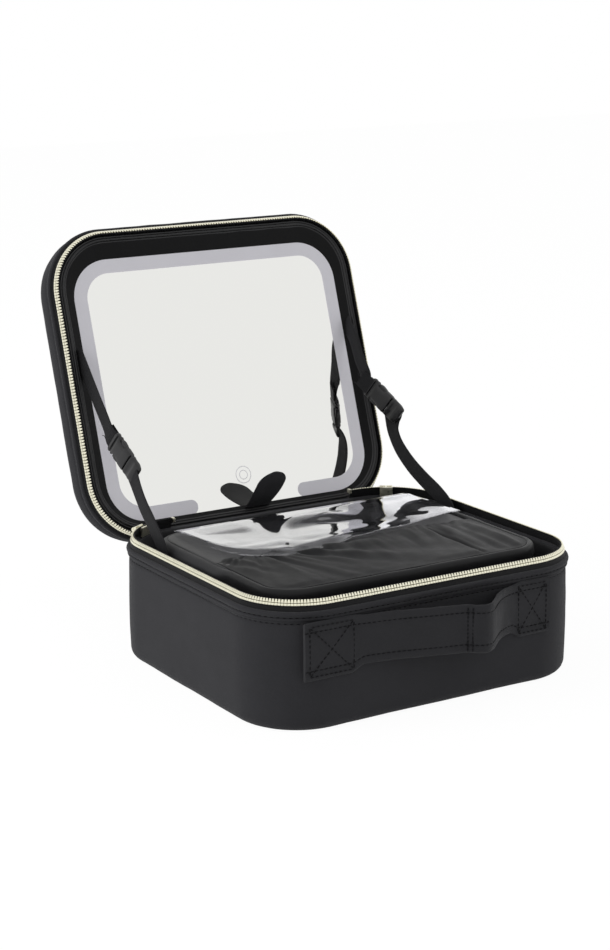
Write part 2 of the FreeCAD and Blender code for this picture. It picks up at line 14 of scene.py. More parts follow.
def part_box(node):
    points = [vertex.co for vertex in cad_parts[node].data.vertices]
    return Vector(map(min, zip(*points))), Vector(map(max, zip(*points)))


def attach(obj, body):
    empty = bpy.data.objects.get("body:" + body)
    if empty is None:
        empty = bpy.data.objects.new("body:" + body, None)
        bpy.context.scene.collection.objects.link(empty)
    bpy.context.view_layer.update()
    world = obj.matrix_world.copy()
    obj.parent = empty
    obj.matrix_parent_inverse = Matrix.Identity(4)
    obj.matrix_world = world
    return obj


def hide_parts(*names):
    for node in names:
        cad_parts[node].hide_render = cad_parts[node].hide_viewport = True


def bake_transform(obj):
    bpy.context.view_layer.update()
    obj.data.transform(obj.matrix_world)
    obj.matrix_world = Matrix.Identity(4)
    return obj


bl_info = {
    "name": "Makeup train case",
    "version": (1, 0, 0),
    "blender": (4, 5, 0),
    "location": "View3D > Sidebar > Train case",
    "description": "Models the fabric, zip, mirror, straps and brush panel of an open train case",
    "category": "Add Mesh",
}

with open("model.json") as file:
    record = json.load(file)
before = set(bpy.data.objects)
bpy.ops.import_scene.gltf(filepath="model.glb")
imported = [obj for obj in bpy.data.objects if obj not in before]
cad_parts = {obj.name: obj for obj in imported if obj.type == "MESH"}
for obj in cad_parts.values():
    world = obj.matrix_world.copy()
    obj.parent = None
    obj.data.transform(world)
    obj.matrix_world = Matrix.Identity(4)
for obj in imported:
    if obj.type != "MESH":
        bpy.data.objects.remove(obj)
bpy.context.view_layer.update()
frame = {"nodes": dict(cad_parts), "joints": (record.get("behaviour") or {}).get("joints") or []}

MM = 0.001
TAU = 2 * math.pi
ACROSS = Vector((1.0, 0.0, 0.0))
REARWARD = Vector((0.0, 1.0, 0.0))
UP = Vector((0.0, 0.0, 1.0))
BASE, LID = -1, 1  # the way that each half lies from the split line
HALVES = {"base": BASE, "lid": LID}

JOINTS = {joint["name"]: joint for joint in frame["joints"]}
LID_HINGE = Vector(JOINTS["lid_hinge"]["pos_m"])
LID_OPEN = math.radians(-JOINTS["lid_hinge"]["range_deg"][0])
LID_TURN = Matrix.Rotation(-LID_OPEN, 4, "X")
LID_SWING = Matrix.Translation(LID_HINGE) @ LID_TURN @ Matrix.Translation(-LID_HINGE)
SHELL_LOW, SHELL_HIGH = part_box("base_shell")
PANEL_LOW, PANEL_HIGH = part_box("panel_piping")
PANEL_CORNER = 25 * MM
COVER_LOW, COVER_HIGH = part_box("clear_cover")
MIRROR_THICK = 2 * MM

# The two straps in millimetres: both ends of the buckle on its middle line, the direction of the edge
# that it turns up, and the webbing above and below it. The right-hand strap is let out and hangs slack.
BUCKLE_ENDS = {"left": ((-117.5, 126.3, 150.9), (-114.5, 96.5, 129.9)),
               "right": ((111.3, 137.9, 163.4), (120.2, 108.9, 142.3))}
BUCKLE_EDGE = {"left": (0.24, -0.54, 0.81), "right": (0.32, -0.52, 0.79)}
UPPER_WAY = {"left": ((-117.5, 180.0, 207.0), (-117.5, 154.5, 179.4), (-117.5, 137.6, 162.0)),
             "right": ((116.5, 179.5, 206.5), (113.6, 163.5, 196.0), (112.2, 153.5, 182.4),
                       (111.6, 143.8, 171.5))}
LOWER_WAY = {"left": ((-115.1, 102.5, 134.1), (-116.3, 97.0, 127.8), (-117.5, 83.0, 113.4),
                      (-117.5, 69.0, 101.0), (-117.5, 56.0, 89.0), (-117.5, 51.0, 79.0),
                      (-117.5, 50.0, 66.0)),
             "right": ((118.5, 114.2, 146.2), (118.3, 116.0, 138.5), (118.2, 114.3, 129.6),
                       (117.8, 105.5, 119.3), (117.5, 89.0, 108.6), (117.5, 70.0, 100.0),
                       (117.5, 53.0, 93.5), (118.0, 41.0, 86.0), (118.5, 36.0, 76.0),
                       (118.5, 35.0, 66.0))}

# Front edge of the clear cover in plan, millimetres; its greatest depth, and how far from the rear edge
# the hem starts.
COVER_FRONT = ((-94.0, 26.0), (-90.0, 8.0), (-84.0, -4.0), (-75.0, -13.0), (-60.0, -19.0), (-38.0, -14.5),
               (-13.0, -9.5), (11.0, -2.5), (47.0, 1.0), (105.0, 7.0))
COVER_DEPTH = COVER_HIGH.y - min(y for _, y in COVER_FRONT) * MM
HEM_START = COVER_DEPTH - 1.2 * MM

# Length, width and height of a stitch in the seams, and of a bolder one in the handle.
STITCH = (2.7 * MM, 0.9 * MM, 0.6 * MM)
BOLD_STITCH = (3.1 * MM, 0.85 * MM, 0.8 * MM)

FINISHES = {}


def distance(label, text, default):
    """Length property of a settings group."""
    return bpy.props.FloatProperty(name=label, description=text, default=default, unit="LENGTH")


def turn(label, text, default):
    """Angle property of a settings group, given in degrees."""
    return bpy.props.FloatProperty(name=label, description=text, default=math.radians(default),
                                   unit="ROTATION")


def tint(label, text, default):
    """Colour property of a settings group."""
    return bpy.props.FloatVectorProperty(name=label, description=text, default=default, size=3,
                                         min=0.0, max=1.0, subtype="COLOR")


class CaseSizes(bpy.types.PropertyGroup):
    """Sizes of the case that a maker would change."""

    corner_radius: distance("Corner radius", "Plan radius of the four upright corners", 47 * MM)
    edge_round: distance("Edge round", "Rounding of the bottom edge and of the lid's top edge", 6 * MM)
    split_height: distance("Split height", "Floor to the split line of the zip", 89 * MM)
    lid_height: distance("Lid height", "Split line to the top of the shut lid", 31 * MM)
    rim_drop: distance("Rim drop", "Split line to the stiff edge of either half", 7 * MM)
    wall: distance("Wall", "Thickness of the stiffened walls", 5 * MM)
    zip_gap: distance("Zip gap", "Half of the rear stretch that has no zip", 78 * MM)
    tooth_pitch: distance("Tooth pitch", "Spacing of the zip teeth on one half", 2.2 * MM)
    stitch_pitch: distance("Stitch pitch", "Spacing of the seam stitches", 4.2 * MM)
    webbing_width: distance("Webbing width", "Width of the strap webbing", 13.6 * MM)
    webbing_thick: distance("Webbing thickness", "Thickness of the strap webbing", 1.4 * MM)
    mirror_radius: distance("Mirror radius", "Corner radius of the mirror", 31 * MM)
    light_band: distance("Light band", "Width of the frosted band of the mirror", 11 * MM)


class CaseColours(bpy.types.PropertyGroup):
    """Colours of the finishes."""

    shell: tint("Shell", "Woven outer fabric", (0.034, 0.034, 0.038))
    lining: tint("Lining", "Satin lining and brush panel", (0.026, 0.026, 0.028))
    tape: tint("Tape", "Zip tape", (0.010, 0.010, 0.011))
    webbing: tint("Webbing", "Strap webbing and pull tab", (0.0135, 0.0135, 0.015))
    thread: tint("Thread", "Seam stitches", (0.004, 0.004, 0.005))
    gold: tint("Gold", "Zip teeth, sliders and pulls", (0.90, 0.87, 0.70))
    plastic: tint("Plastic", "Buckles and charging socket", (0.011, 0.011, 0.012))
    piping: tint("Piping", "Rolled edges", (0.009, 0.009, 0.010))
    silver: tint("Silver", "Mirror", (0.81, 0.81, 0.785))
    frosted: tint("Frosted", "Light band of the mirror", (0.74, 0.73, 0.78))


class CaseView(bpy.types.PropertyGroup):
    """Where the camera stands."""

    azimuth: turn("Azimuth", "Direction from the front wall", -31.55)
    elevation: turn("Elevation", "Angle above the floor", 13.86)
    roll: turn("Roll", "Turn about the line of sight", -0.45)
    reach: distance("Reach", "Camera to target", 1520.66 * MM)
    target: bpy.props.FloatVectorProperty(name="Target", description="Point that the camera faces",
                                          default=(-2.02 * MM, 50.18 * MM, 124.77 * MM), size=3,
                                          subtype="XYZ", unit="LENGTH")
    lens: bpy.props.FloatProperty(name="Lens", description="Focal length in millimetres", default=79.79)


class Value:
    """Output of a node, with arithmetic that adds Math nodes."""

    def __init__(self, shade, socket):
        self.shade = shade
        self.socket = socket

    def math(self, operation, first, second=0.0, third=0.0):
        """Math node on up to three values."""
        inputs = {0: first, 1: second, 2: third}
        return self.shade.node("ShaderNodeMath", {"operation": operation}, inputs)

    def __add__(self, other):
        return self.math("ADD", self, other)

    def __radd__(self, other):
        return self.math("ADD", other, self)

    def __sub__(self, other):
        return self.math("SUBTRACT", self, other)

    def __rsub__(self, other):
        return self.math("SUBTRACT", other, self)

    def __mul__(self, other):
        return self.math("MULTIPLY", self, other)

    def __rmul__(self, other):
        return self.math("MULTIPLY", other, self)

    def __abs__(self):
        return self.math("ABSOLUTE", self)

    def sine(self):
        """Sine of the value."""
        return self.math("SINE", self)

    def wave(self, pitch):
        """Sine that comes round once in every pitch."""
        return (self * (TAU / pitch)).sine()

    def least(self, other):
        """Smaller of two values."""
        return self.math("MINIMUM", self, other)

    def most(self, other):
        """Larger of two values."""
        return self.math("MAXIMUM", self, other)

    def root(self):
        """Square root of the value."""
        return self.math("SQRT", self)

    def between(self, low, high):
        """Smooth step from 0 at low to 1 at high."""
        settings = {"interpolation_type": "SMOOTHSTEP"}
        return self.shade.node("ShaderNodeMapRange", settings, {0: self, 1: low, 2: high, 3: 0.0, 4: 1.0})

    def part(self, name):
        """Another output of the same node."""
        return Value(self.shade, self.socket.node.outputs[name])


class Shade:
    """Nodes of a material or world under construction."""

    def __init__(self, owner):
        self.owner = owner
        owner.use_nodes = True
        self.tree = owner.node_tree
        self.tree.nodes.clear()

    def node(self, kind, settings=None, inputs=None, output=0):
        """New node of a kind, with its settings, then the values or links of its sockets."""
        made = self.tree.nodes.new(kind)
        for key, value in (settings or {}).items():
            setattr(made, key, value)
        for key, value in (inputs or {}).items():
            if isinstance(value, Value):
                self.tree.links.new(value.socket, made.inputs[key])
            else:
                made.inputs[key].default_value = value
        return Value(self, made.outputs[output] if made.outputs else None)

    def place(self, kind="UV"):
        """Coordinates of one kind, in metres."""
        return self.node("ShaderNodeTexCoord").part(kind)

    def axes(self, vector):
        """The three numbers of a vector."""
        split = self.node("ShaderNodeSeparateXYZ", None, {0: vector})
        return split, split.part("Y"), split.part("Z")

    def grain(self, vector, size, detail=2.0):
        """Noise from 0 to 1 with features of a given size."""
        inputs = {"Vector": vector, "Scale": 1 / size, "Detail": detail, "Roughness": 0.6}
        return self.node("ShaderNodeTexNoise", None, inputs)

    def mix(self, share, first, second):
        """Blend of two colours."""
        return self.node("ShaderNodeMix", {"data_type": "RGBA"}, {0: share, 6: first, 7: second}, 2)

    def shades(self, colour, share, dark=0.6, light=1.5):
        """Colour that runs from darker to lighter with a share from 0 to 1."""
        return self.mix(share, scaled(colour, dark), scaled(colour, light))

    def bump(self, height, strength, depth):
        """Normal from a height."""
        inputs = {"Strength": strength, "Distance": depth, "Height": height}
        return self.node("ShaderNodeBump", None, inputs)

    def surface(self, inputs):
        """Principled surface from its sockets."""
        return self.finish(self.node("ShaderNodeBsdfPrincipled", None, inputs))

    def finish(self, shader, output="ShaderNodeOutputMaterial"):
        """Connect a shader to the output and give the material or world."""
        self.node(output, None, {"Surface": shader})
        return self.owner


def new_shade(name, kind="UV"):
    """Empty material, and its coordinates of one kind."""
    shade = Shade(bpy.data.materials.new(name))
    return shade, shade.place(kind)


def toned(colour, share):
    """Colour made darker or lighter."""
    return tuple(min(1.0, part * share) for part in colour)


def scaled(colour, share=1.0):
    """Colour for a socket, made darker or lighter."""
    return (*toned(colour, share), 1.0)


def woven(name, colour, pitch, roughness, sheen, specular, relief, mottle):
    """Cloth of crossing threads, with slubs and faint worn patches."""
    shade, place = new_shade(name)
    along, across, _ = shade.axes(place)
    thread = across.wave(pitch) * along.wave(pitch) * 0.5 + 0.5
    slub = shade.grain(place, 1.6 * MM, 3.0)
    worn = shade.grain(place, 22 * MM)
    share = thread * 0.35 + slub * 0.4 + worn * 0.25
    spread = mottle * 0.8
    return shade.surface({
        "Base Color": shade.shades(colour, share, 1 - spread, 1 + spread),
        "Roughness": slub * 0.16 + (roughness - 0.08),
        "Specular IOR Level": specular,
        "Sheen Weight": sheen,
        "Sheen Roughness": 0.45,
        "Normal": shade.bump(thread * 0.6 + slub * 0.4, relief, 0.25 * MM),
    })


def satin(name, colour, roughness, specular, painted_shade=1.0):
    """Close-woven nylon with a soft shine and fine creases.

    A share below 1 darkens it as painted shade, except at the rear left of the brush panel, which keeps its
    lighter colour as painted light."""
    shade, place = new_shade(name)
    along, across, _ = shade.axes(place)
    thread = along.wave(0.5 * MM) * across.wave(0.9 * MM) * 0.5 + 0.5
    crease = shade.grain(place, 9 * MM, 4.0)
    share = thread * 0.3 + crease * 0.7
    x, y, _ = shade.axes(shade.place("Object"))
    # Painted light: the rear left of the brush panel keeps the lit colour, the rest takes the darker copy
    # as painted shade.
    painted_lit_rear_left = y.between(-52 * MM, 2 * MM) * (1.0 - x.between(-96 * MM, -76 * MM))
    painted_shaded, painted_lit = (shade.shades(toned(colour, tone), share, 0.75, 1.25) for tone in (painted_shade, 1.0))
    return shade.surface({
        "Base Color": shade.mix(painted_lit_rear_left, painted_shaded, painted_lit),
        "Roughness": crease * 0.2 + (roughness - 0.1),
        "Specular IOR Level": specular,
        "Sheen Weight": 0.25 * specular,
        "Normal": shade.bump(crease * 0.85 + thread * 0.15, 0.35, 0.5 * MM),
    })


def ribbed(name, colour, rib, groove, roughness, specular):
    """Narrow woven goods: ribs along the length, crossed by weft bars."""
    shade, place = new_shade(name)
    along, across, _ = shade.axes(place)
    ribs = across.wave(rib)
    bars = (along * (TAU / groove) + ribs * 1.2).sine()
    thread = ribs * 0.3 + bars * 0.2 + 0.5
    slub = shade.grain(place, 2 * MM)
    return shade.surface({
        "Base Color": shade.shades(colour, thread * 0.6 + slub * 0.4, 0.55, 1.5),
        "Roughness": slub * 0.2 + (roughness - 0.1),
        "Specular IOR Level": specular,
        "Sheen Weight": 0.05,
        "Normal": shade.bump(thread, 0.5, 0.3 * MM),
    })


def gilt(name, colour):
    """Pale gold plating, a little worn."""
    shade, place = new_shade(name, "Object")
    wear = shade.grain(place, 3 * MM, 3.0)
    return shade.surface({
        "Base Color": shade.shades(colour, wear, 0.82, 1.1),
        "Metallic": 1.0,
        "Roughness": wear * 0.25 + 0.2,
        "Normal": shade.bump(shade.grain(place, 0.8 * MM), 0.12, 0.1 * MM),
    })


def moulded(name, colour, roughness, specular):
    """Moulded plastic with a fine grain and faint flow marks."""
    shade, place = new_shade(name, "Object")
    grain = shade.grain(place, 0.7 * MM)
    flow = shade.grain(place, 12 * MM, 3.0)
    return shade.surface({
        "Base Color": shade.shades(colour, grain * 0.4 + flow * 0.6, 0.75, 1.25),
        "Roughness": flow * 0.2 + (roughness - 0.1),
        "Specular IOR Level": specular,
        "Normal": shade.bump(grain, 0.15, 0.1 * MM),
    })


def rolled_vinyl(name, colour):
    """Glossy rolled edge with the fine wrinkles of bent vinyl."""
    shade, place = new_shade(name)
    along, _, _ = shade.axes(place)
    pucker = along.wave(3.2 * MM) * 0.5 + 0.5
    wrinkle = shade.grain(place, 2.5 * MM, 3.0)
    return shade.surface({
        "Base Color": shade.shades(colour, wrinkle, 0.7, 1.4),
        "Roughness": wrinkle * 0.2 + 0.3,
        "Specular IOR Level": 0.4,
        "Normal": shade.bump(wrinkle * 0.88 + pucker * 0.12, 0.25, 0.4 * MM),
    })


def clear_vinyl(name):
    """Clear sheet: a see-through body under the shine of its two faces, with a milky hem at the front."""
    shade, place = new_shade(name)
    _, across, _ = shade.axes(place)
    normal = shade.bump(shade.grain(place, 40 * MM), 0.2, 0.6 * MM)
    gloss = {"Color": (0.95, 0.95, 0.97, 1.0), "Roughness": 0.03, "Normal": normal}
    shine = shade.node("ShaderNodeBsdfGlossy", None, gloss)
    body = shade.node("ShaderNodeBsdfTransparent", None, {"Color": (0.90, 0.90, 0.91, 1.0)})
    slant = shade.node("ShaderNodeLayerWeight", None, {"Blend": 0.5, "Normal": normal}).part("Facing")
    square = slant * slant
    edge = square * square * slant * 0.953 + 0.047
    hem = across.between(HEM_START, HEM_START + 0.5 * MM)
    share = (edge * (square * square * square * 11.0 + 0.4) + hem * 0.1).least(0.9)
    return shade.finish(shade.node("ShaderNodeMixShader", None, {0: share, 1: body, 2: shine}))


def lit_mirror(name, sizes, colours):
    """Silvered glass with a frosted band round its edge, open at the hinge side, and a touch mark."""
    shade, place = new_shade(name, "Object")
    back = LID_SWING.inverted()
    mapping = {"Vector": place, "Location": back.translation, "Rotation": back.to_euler()}
    x, y, _ = shade.axes(shade.node("ShaderNodeMapping", {"vector_type": "POINT"}, mapping))
    half, middle = mirror_half()
    radius = sizes.mirror_radius
    corner_x = abs(x) - (half.x - radius)
    corner_y = abs(y - middle) - (half.y - radius)
    inside = corner_x.most(corner_y).least(0.0)
    edge = span(corner_x.most(0.0), corner_y.most(0.0)) + inside - radius
    fade = 0.2 * MM
    near_edge = edge.between(-sizes.light_band - fade, -sizes.light_band + fade)
    gap_middle, gap_half = 3 * MM, 44 * MM
    end_round = sizes.light_band / 2
    past_end = (gap_half + end_round - abs(x - gap_middle)).most(0.0)
    end_far = span(past_end, y - (middle + half.y - end_round))
    rear = (y - middle).between(0.0, 1 * MM)
    cut = rear * end_far.between(end_round - fade, end_round + fade) * past_end.between(0.0, fade)
    mark = span(x - 2.0 * MM, y - 79.8 * MM)
    rings = ring(mark, 6.4 * MM).most(ring(mark, 3.4 * MM)) * 0.75
    cover = (near_edge * (1.0 - cut)).most(rings)
    cloud = shade.grain(place, 25 * MM)
    pale = shade.mix(cloud, scaled(colours.frosted, 0.95), scaled(colours.frosted, 1.04))
    return shade.surface({
        "Base Color": shade.mix(cover, scaled(colours.silver), pale),
        "Metallic": 1.0 - cover,
        "Roughness": cover * 0.5 + 0.015,
        "Emission Color": shade.mix(cover, (0.0, 0.0, 0.0, 1.0), scaled(colours.frosted, 0.16)),
        "Emission Strength": 1.0,
    })


def span(first, second):
    """Length of a line from its two legs."""
    return (first * first + second * second).root()


def ring(radius_here, radius):
    """Thin line at one radius."""
    return 1.0 - abs(radius_here - radius).between(0.15 * MM, 0.4 * MM)


def printed_board(name):
    """Green solder mask with copper tracks."""
    shade, place = new_shade(name, "Object")
    x, _, z = shade.axes(place)
    track = x.wave(4 * MM).most(z.wave(6 * MM)).between(0.86, 0.94)
    mask = shade.grain(place, 4 * MM)
    green = shade.shades((0.02, 0.12, 0.05), mask, 0.8, 1.3)
    return shade.surface({
        "Base Color": shade.mix(track, green, (0.06, 0.24, 0.10, 1.0)),
        "Roughness": 0.45 - track * 0.12,
        "Normal": shade.bump(track, 0.3, 0.1 * MM),
    })


def felt(name, colour):
    """Brushed loop cloth of the dividers."""
    shade, place = new_shade(name, "Object")
    nap = shade.grain(place, 0.9 * MM, 4.0)
    patch = shade.grain(place, 18 * MM)
    return shade.surface({
        "Base Color": shade.shades(colour, nap * 0.6 + patch * 0.4, 0.6, 1.4),
        "Roughness": nap * 0.1 + 0.85,
        "Specular IOR Level": 0.1,
        "Sheen Weight": 0.25,
        "Normal": shade.bump(nap, 0.6, 0.4 * MM),
    })


def finish(name):
    """Finish by name, made once."""
    if name in FINISHES:
        return FINISHES[name]
    colours = bpy.context.scene.case_colours
    recipes = {
        "shell": (woven, colours.shell, 0.62 * MM, 0.78, 0.10, 0.22, 0.4, 0.65),
        "lining": (satin, colours.lining, 0.42, 0.32),
        "pocket": (satin, toned(colours.lining, 0.46), 0.5, 0.13),
        # Rolled edge of the brush panel: painted shade on its front and right, its rear left left lit.
        "panel_edge": (satin, colours.lining, 0.46, 0.2, 0.42),
        "surround": (satin, toned(colours.lining, 0.22), 0.55, 0.12),
        "handle": (woven, toned(colours.shell, 0.86), 0.8 * MM, 0.72, 0.10, 0.22, 0.6, 0.8),
        "tape": (ribbed, colours.tape, 0.9 * MM, 1.1 * MM, 0.7, 0.2),
        "webbing": (ribbed, colours.webbing, 1.6 * MM, 1.3 * MM, 0.68, 0.16),
        "tab": (ribbed, toned(colours.webbing, 1.4), 1.2 * MM, 1.0 * MM, 0.7, 0.2),
        # Painted light: a lighter copy of the lining for the side of the pull tab that faces the mirror, in
        # place of light the mirror throws onto it.
        "tab_back": (satin, toned(colours.lining, 2.6), 0.6, 0.15),
        "thread": (ribbed, colours.thread, 0.3 * MM, 0.5 * MM, 0.6, 0.12),
        "gold": (gilt, colours.gold),
        "plastic": (moulded, colours.plastic, 0.36, 0.45),
        "board": (moulded, (0.05, 0.05, 0.05), 0.55, 0.3),
        "piping": (rolled_vinyl, colours.piping),
        "clear": (clear_vinyl,),
        "mirror": (lit_mirror, bpy.context.scene.case_sizes, colours),
        "diffuser": (moulded, colours.frosted, 0.5, 0.4),
        "circuit": (printed_board,),
        "lamp": (moulded, (0.86, 0.82, 0.62), 0.35, 0.5),
        "foil": (moulded, (0.42, 0.44, 0.48), 0.35, 0.5),
        "lead": (moulded, (0.35, 0.03, 0.03), 0.5, 0.4),
        "felt": (felt, colours.lining),
    }
    maker, *values = recipes[name]
    FINISHES[name] = maker(name, *values)
    return FINISHES[name]


def mm(*points):
    """Points given in millimetres, in metres."""
    return [tuple(number * MM for number in point) for point in points]


def mix(first, second, share):
    """Number or vector between two others."""
    return first + (second - first) * share


def held(share):
    """Share held between 0 and 1."""
    return min(max(share, 0.0), 1.0)


def smooth(share):
    """Smooth step of a share, held between 0 and 1."""
    part = held(share)
    return part * part * (3 - 2 * part)


def through(points, at):
    """Height of a line through (at, height) points."""
    for (start, low), (end, high) in zip(points, points[1:]):
        if at <= end:
            return mix(low, high, smooth((at - start) / (end - start)))
    return points[-1][1]


def spline(points, steps):
    """Points on a smooth curve through the given ones."""
    points = [Vector(point) for point in points]
    ends = [2 * points[0] - points[1], *points, 2 * points[-1] - points[-2]]
    made = []
    for before, start, end, after in zip(ends, ends[1:], ends[2:], ends[3:]):
        for step in range(steps):
            t = step / steps
            bend = 2 * before - 5 * start + 4 * end - after
            swing = 3 * start - before - 3 * end + after
            made.append(start + ((end - before) * t + bend * t ** 2 + swing * t ** 3) / 2)
    return made + [points[-1]]


class RoundedPath:
    """Rounded rectangle in plan, walked to the right from the middle of its rear side."""

    def __init__(self, half_x, half_y, radius, centre_y=0.0):
        self.start = Vector((0.0, centre_y + half_y, 0.0))
        self.radius = radius
        run_x = half_x - radius
        run_y = half_y - radius
        self.runs = (run_x, 2 * run_y, 2 * run_x, 2 * run_y, run_x)
        self.length = sum(self.runs) + TAU * radius

    def at(self, along):
        """Point and outward direction at a distance along the outline."""
        point = self.start
        heading = ACROSS
        outward = REARWARD
        arc = self.radius * TAU / 4
        for run in self.runs:
            if along <= run:
                return point + heading * along, outward
            along -= run
            centre = point + heading * run - outward * self.radius
            if along <= arc:
                bent = Matrix.Rotation(-along / self.radius, 3, "Z") @ outward
                return centre + bent * self.radius, bent
            along -= arc
            point = centre + heading * self.radius
            heading, outward = -outward, heading
        return self.start, REARWARD

    def frames(self, height, rise, start=0.0, end=None, spacing=4 * MM):
        """Evenly spaced (point, outward, upward) frames at a height; rise is the upward direction."""
        end = self.length if end is None else end
        count = round((end - start) / spacing)
        made = []
        for index in range(count + 1):
            point, outward = self.at(mix(start, end, index / count))
            made.append((point + UP * height, outward, rise))
        return made


def case_path(sizes):
    """Outline of the case."""
    return RoundedPath(SHELL_HIGH.x, SHELL_HIGH.y, sizes.corner_radius)


def half_frames(sizes, half, zipped=False, spacing=4 * MM):
    """Frames round one half of the case, measured from the split line away from the zip."""
    path = case_path(sizes)
    start = sizes.zip_gap if zipped else 0.0
    return path.frames(sizes.split_height, UP * half, start, path.length - start, spacing)


def mirror_half():
    """Half sizes of the mirror in its own plane, and its middle from front to back of the shut lid."""
    low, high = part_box("mirror_glass")
    back = LID_SWING.inverted()
    near = back @ high
    far = back @ Vector((high.x, low.y, low.z))
    length = ((high.y - low.y) ** 2 + (high.z - low.z) ** 2 - MIRROR_THICK ** 2) ** 0.5
    return Vector((high.x, length / 2)), (near.y + far.y) / 2


def wrap_grid(bm, columns, rows, place, size):
    """Flat grid carried onto a surface: place(u, v) gives the point for shares u and v of the grid.

    The UV map keeps the grid flat, at its size in metres. Edges that meet are joined."""
    layer = bm.loops.layers.uv.verify()
    verts = bmesh.ops.create_grid(bm, x_segments=columns, y_segments=rows, size=0.5)["verts"]
    for face in {face for vert in verts for face in vert.link_faces}:
        for loop in face.loops:
            flat = loop.vert.co
            loop[layer].uv = ((flat.x + 0.5) * size[0], (flat.y + 0.5) * size[1])
    for vert in verts:
        vert.co = place(vert.co.x + 0.5, vert.co.y + 0.5)
    bmesh.ops.remove_doubles(bm, verts=verts, dist=0.002 * MM)
    return [vert for vert in verts if vert.is_valid]


def sweep(bm, frames, section):
    """Section of (first, second) distances carried along (point, first, second) frames.

    The section is one list, or a function that gives the list for a share of the way."""
    columns = len(frames) - 1
    lists = [section(index / columns) if callable(section) else section for index in range(columns + 1)]
    rows = len(lists[0]) - 1

    def place(u, v):
        point, first, second = frames[round(u * columns)]
        near, far = lists[round(u * columns)][round(v * rows)]
        return point + first * near + second * far

    length = sum((after[0] - before[0]).length for before, after in zip(frames, frames[1:]))
    width = sum(math.dist(before, after) for before, after in zip(lists[0], lists[0][1:]))
    return wrap_grid(bm, columns, rows, place, (length, width))


def open_edges(bm):
    """Edges with a face on one side only."""
    return [edge for edge in bm.edges if edge.is_boundary]


def rims(bm, height):
    """Open edges of a piece, those below a height and those above it."""
    edges = open_edges(bm)
    under = [edge for edge in edges if edge.verts[0].co.z < height]
    return under, [edge for edge in edges if edge not in under]


def close_ends(bm):
    """Fill every open end of a swept piece."""
    bmesh.ops.holes_fill(bm, edges=open_edges(bm), sides=0)


def plan_uv(faces, layer):
    """Lay out faces in the UV map as they are seen from above."""
    for face in faces:
        for corner in face.loops:
            corner[layer].uv = corner.vert.co.xy


def soften(bm, offset, segments):
    """Round every edge."""
    bmesh.ops.bevel(bm, geom=bm.edges[:], offset=offset, offset_type="OFFSET", segments=segments,
                    profile=0.5, affect="EDGES", material=-1, clamp_overlap=True)


def crown(bm, loop, middle_y=0.0, rise=0.0):
    """Close a flat loop of edges with rings that climb to a soft crown."""
    layer = bm.loops.layers.uv.verify()
    middle = Vector((0.0, middle_y, loop[0].verts[0].co.z))
    shares = (1.0, 0.93, 0.82, 0.68, 0.52, 0.36, 0.2, 0.08)
    for before, share in zip(shares, shares[1:]):
        grown = bmesh.ops.extrude_edge_only(bm, edges=loop)["geom"]
        verts = [part for part in grown if isinstance(part, bmesh.types.BMVert)]
        loop = [part for part in grown if isinstance(part, bmesh.types.BMEdge)]
        loop = [edge for edge in loop if all(vert in verts for vert in edge.verts)]
        bmesh.ops.scale(bm, vec=(share / before, share / before, 1.0), verts=verts,
                        space=Matrix.Translation(-middle))
        step = rise * (before ** 3 - share ** 3)
        bmesh.ops.translate(bm, vec=(0.0, 0.0, step), verts=verts)
        plan_uv({face for vert in verts for face in vert.link_faces}, layer)
    plan_uv(bmesh.ops.contextual_create(bm, geom=loop)["faces"], layer)


def ruffle(bm, verts, depth, size, seed):
    """Push points in and out along their normals by smooth noise."""
    bm.normal_update()
    for vert in verts:
        sway = noise.noise(vert.co / size + Vector((seed, 2.3 * seed, 0.7)))
        vert.co += vert.normal * (depth * sway)


def stitch(bm, middle, along, outward, size):
    """One stitch of thread: length along the seam, width across it and height out of the cloth."""
    across = outward.cross(along)
    turned = Matrix((along * size[0], across * size[1], outward * size[2])).transposed().to_4x4()
    bmesh.ops.create_icosphere(bm, subdivisions=1, radius=0.5, matrix=Matrix.Translation(middle) @ turned)


def stitch_row(bm, frames, out, up, pitch, size=STITCH):
    """Row of stitches along frames, at one place of their section."""
    points = [point + first * out + second * up for point, first, second in frames]
    walked = 0.0
    due = pitch / 2
    for index, (start, end) in enumerate(zip(points, points[1:])):
        run = (end - start).length
        while due <= walked + run:
            along = (end - start).normalized()
            middle = mix(start, end, (due - walked) / run)
            stitch(bm, middle, along, frames[index][1].normalized(), size)
            due += pitch
        walked += run


def stitch_line(bm, start, end, outward, pitch):
    """Straight row of stitches between two points."""
    frames = [(start, outward, UP), (end, outward, UP)]
    stitch_row(bm, frames, 0.0, 0.0, pitch, BOLD_STITCH)


def new_piece(name, bm, finish_name, swing=False, crease=50):
    """Object from a bmesh, with its finish; a piece of the lid is swung open first."""
    if swing:
        bm.transform(LID_SWING)
    bm.normal_update()
    bmesh.ops.recalc_face_normals(bm, faces=bm.faces[:])
    mesh = bpy.data.meshes.new(name)
    bm.to_mesh(mesh)
    bm.free()
    mesh.shade_smooth()
    mesh.set_sharp_from_angle(angle=math.radians(crease))
    mesh.materials.append(finish(finish_name))
    piece = bpy.data.objects.new(name, mesh)
    bpy.context.scene.collection.objects.link(piece)
    return piece


def settle(piece, body, slot, *nodes):
    """Attach a piece to its body and hide the nodes it stands for; one that bends over a joint has no body.
    The slot is not used.
    """
    if body:
        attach(piece, body)
    if nodes:
        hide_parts(*nodes)
    return piece


def coat(finish_name, *nodes):
    """Give carried-over nodes a finish."""
    for node in nodes:
        materials = frame["nodes"][node].data.materials
        materials.clear()
        materials.append(finish(finish_name))


def thicken(piece, thickness):
    """Wall of even thickness on both sides of a sheet."""
    solid = piece.modifiers.new("cloth", "SOLIDIFY")
    solid.thickness = thickness
    solid.offset = 0.0
    bpy.context.view_layer.update()
    seen = piece.evaluated_get(bpy.context.evaluated_depsgraph_get())
    whole = bpy.data.meshes.new_from_object(seen)
    piece.modifiers.clear()
    piece.data = whole
    return piece


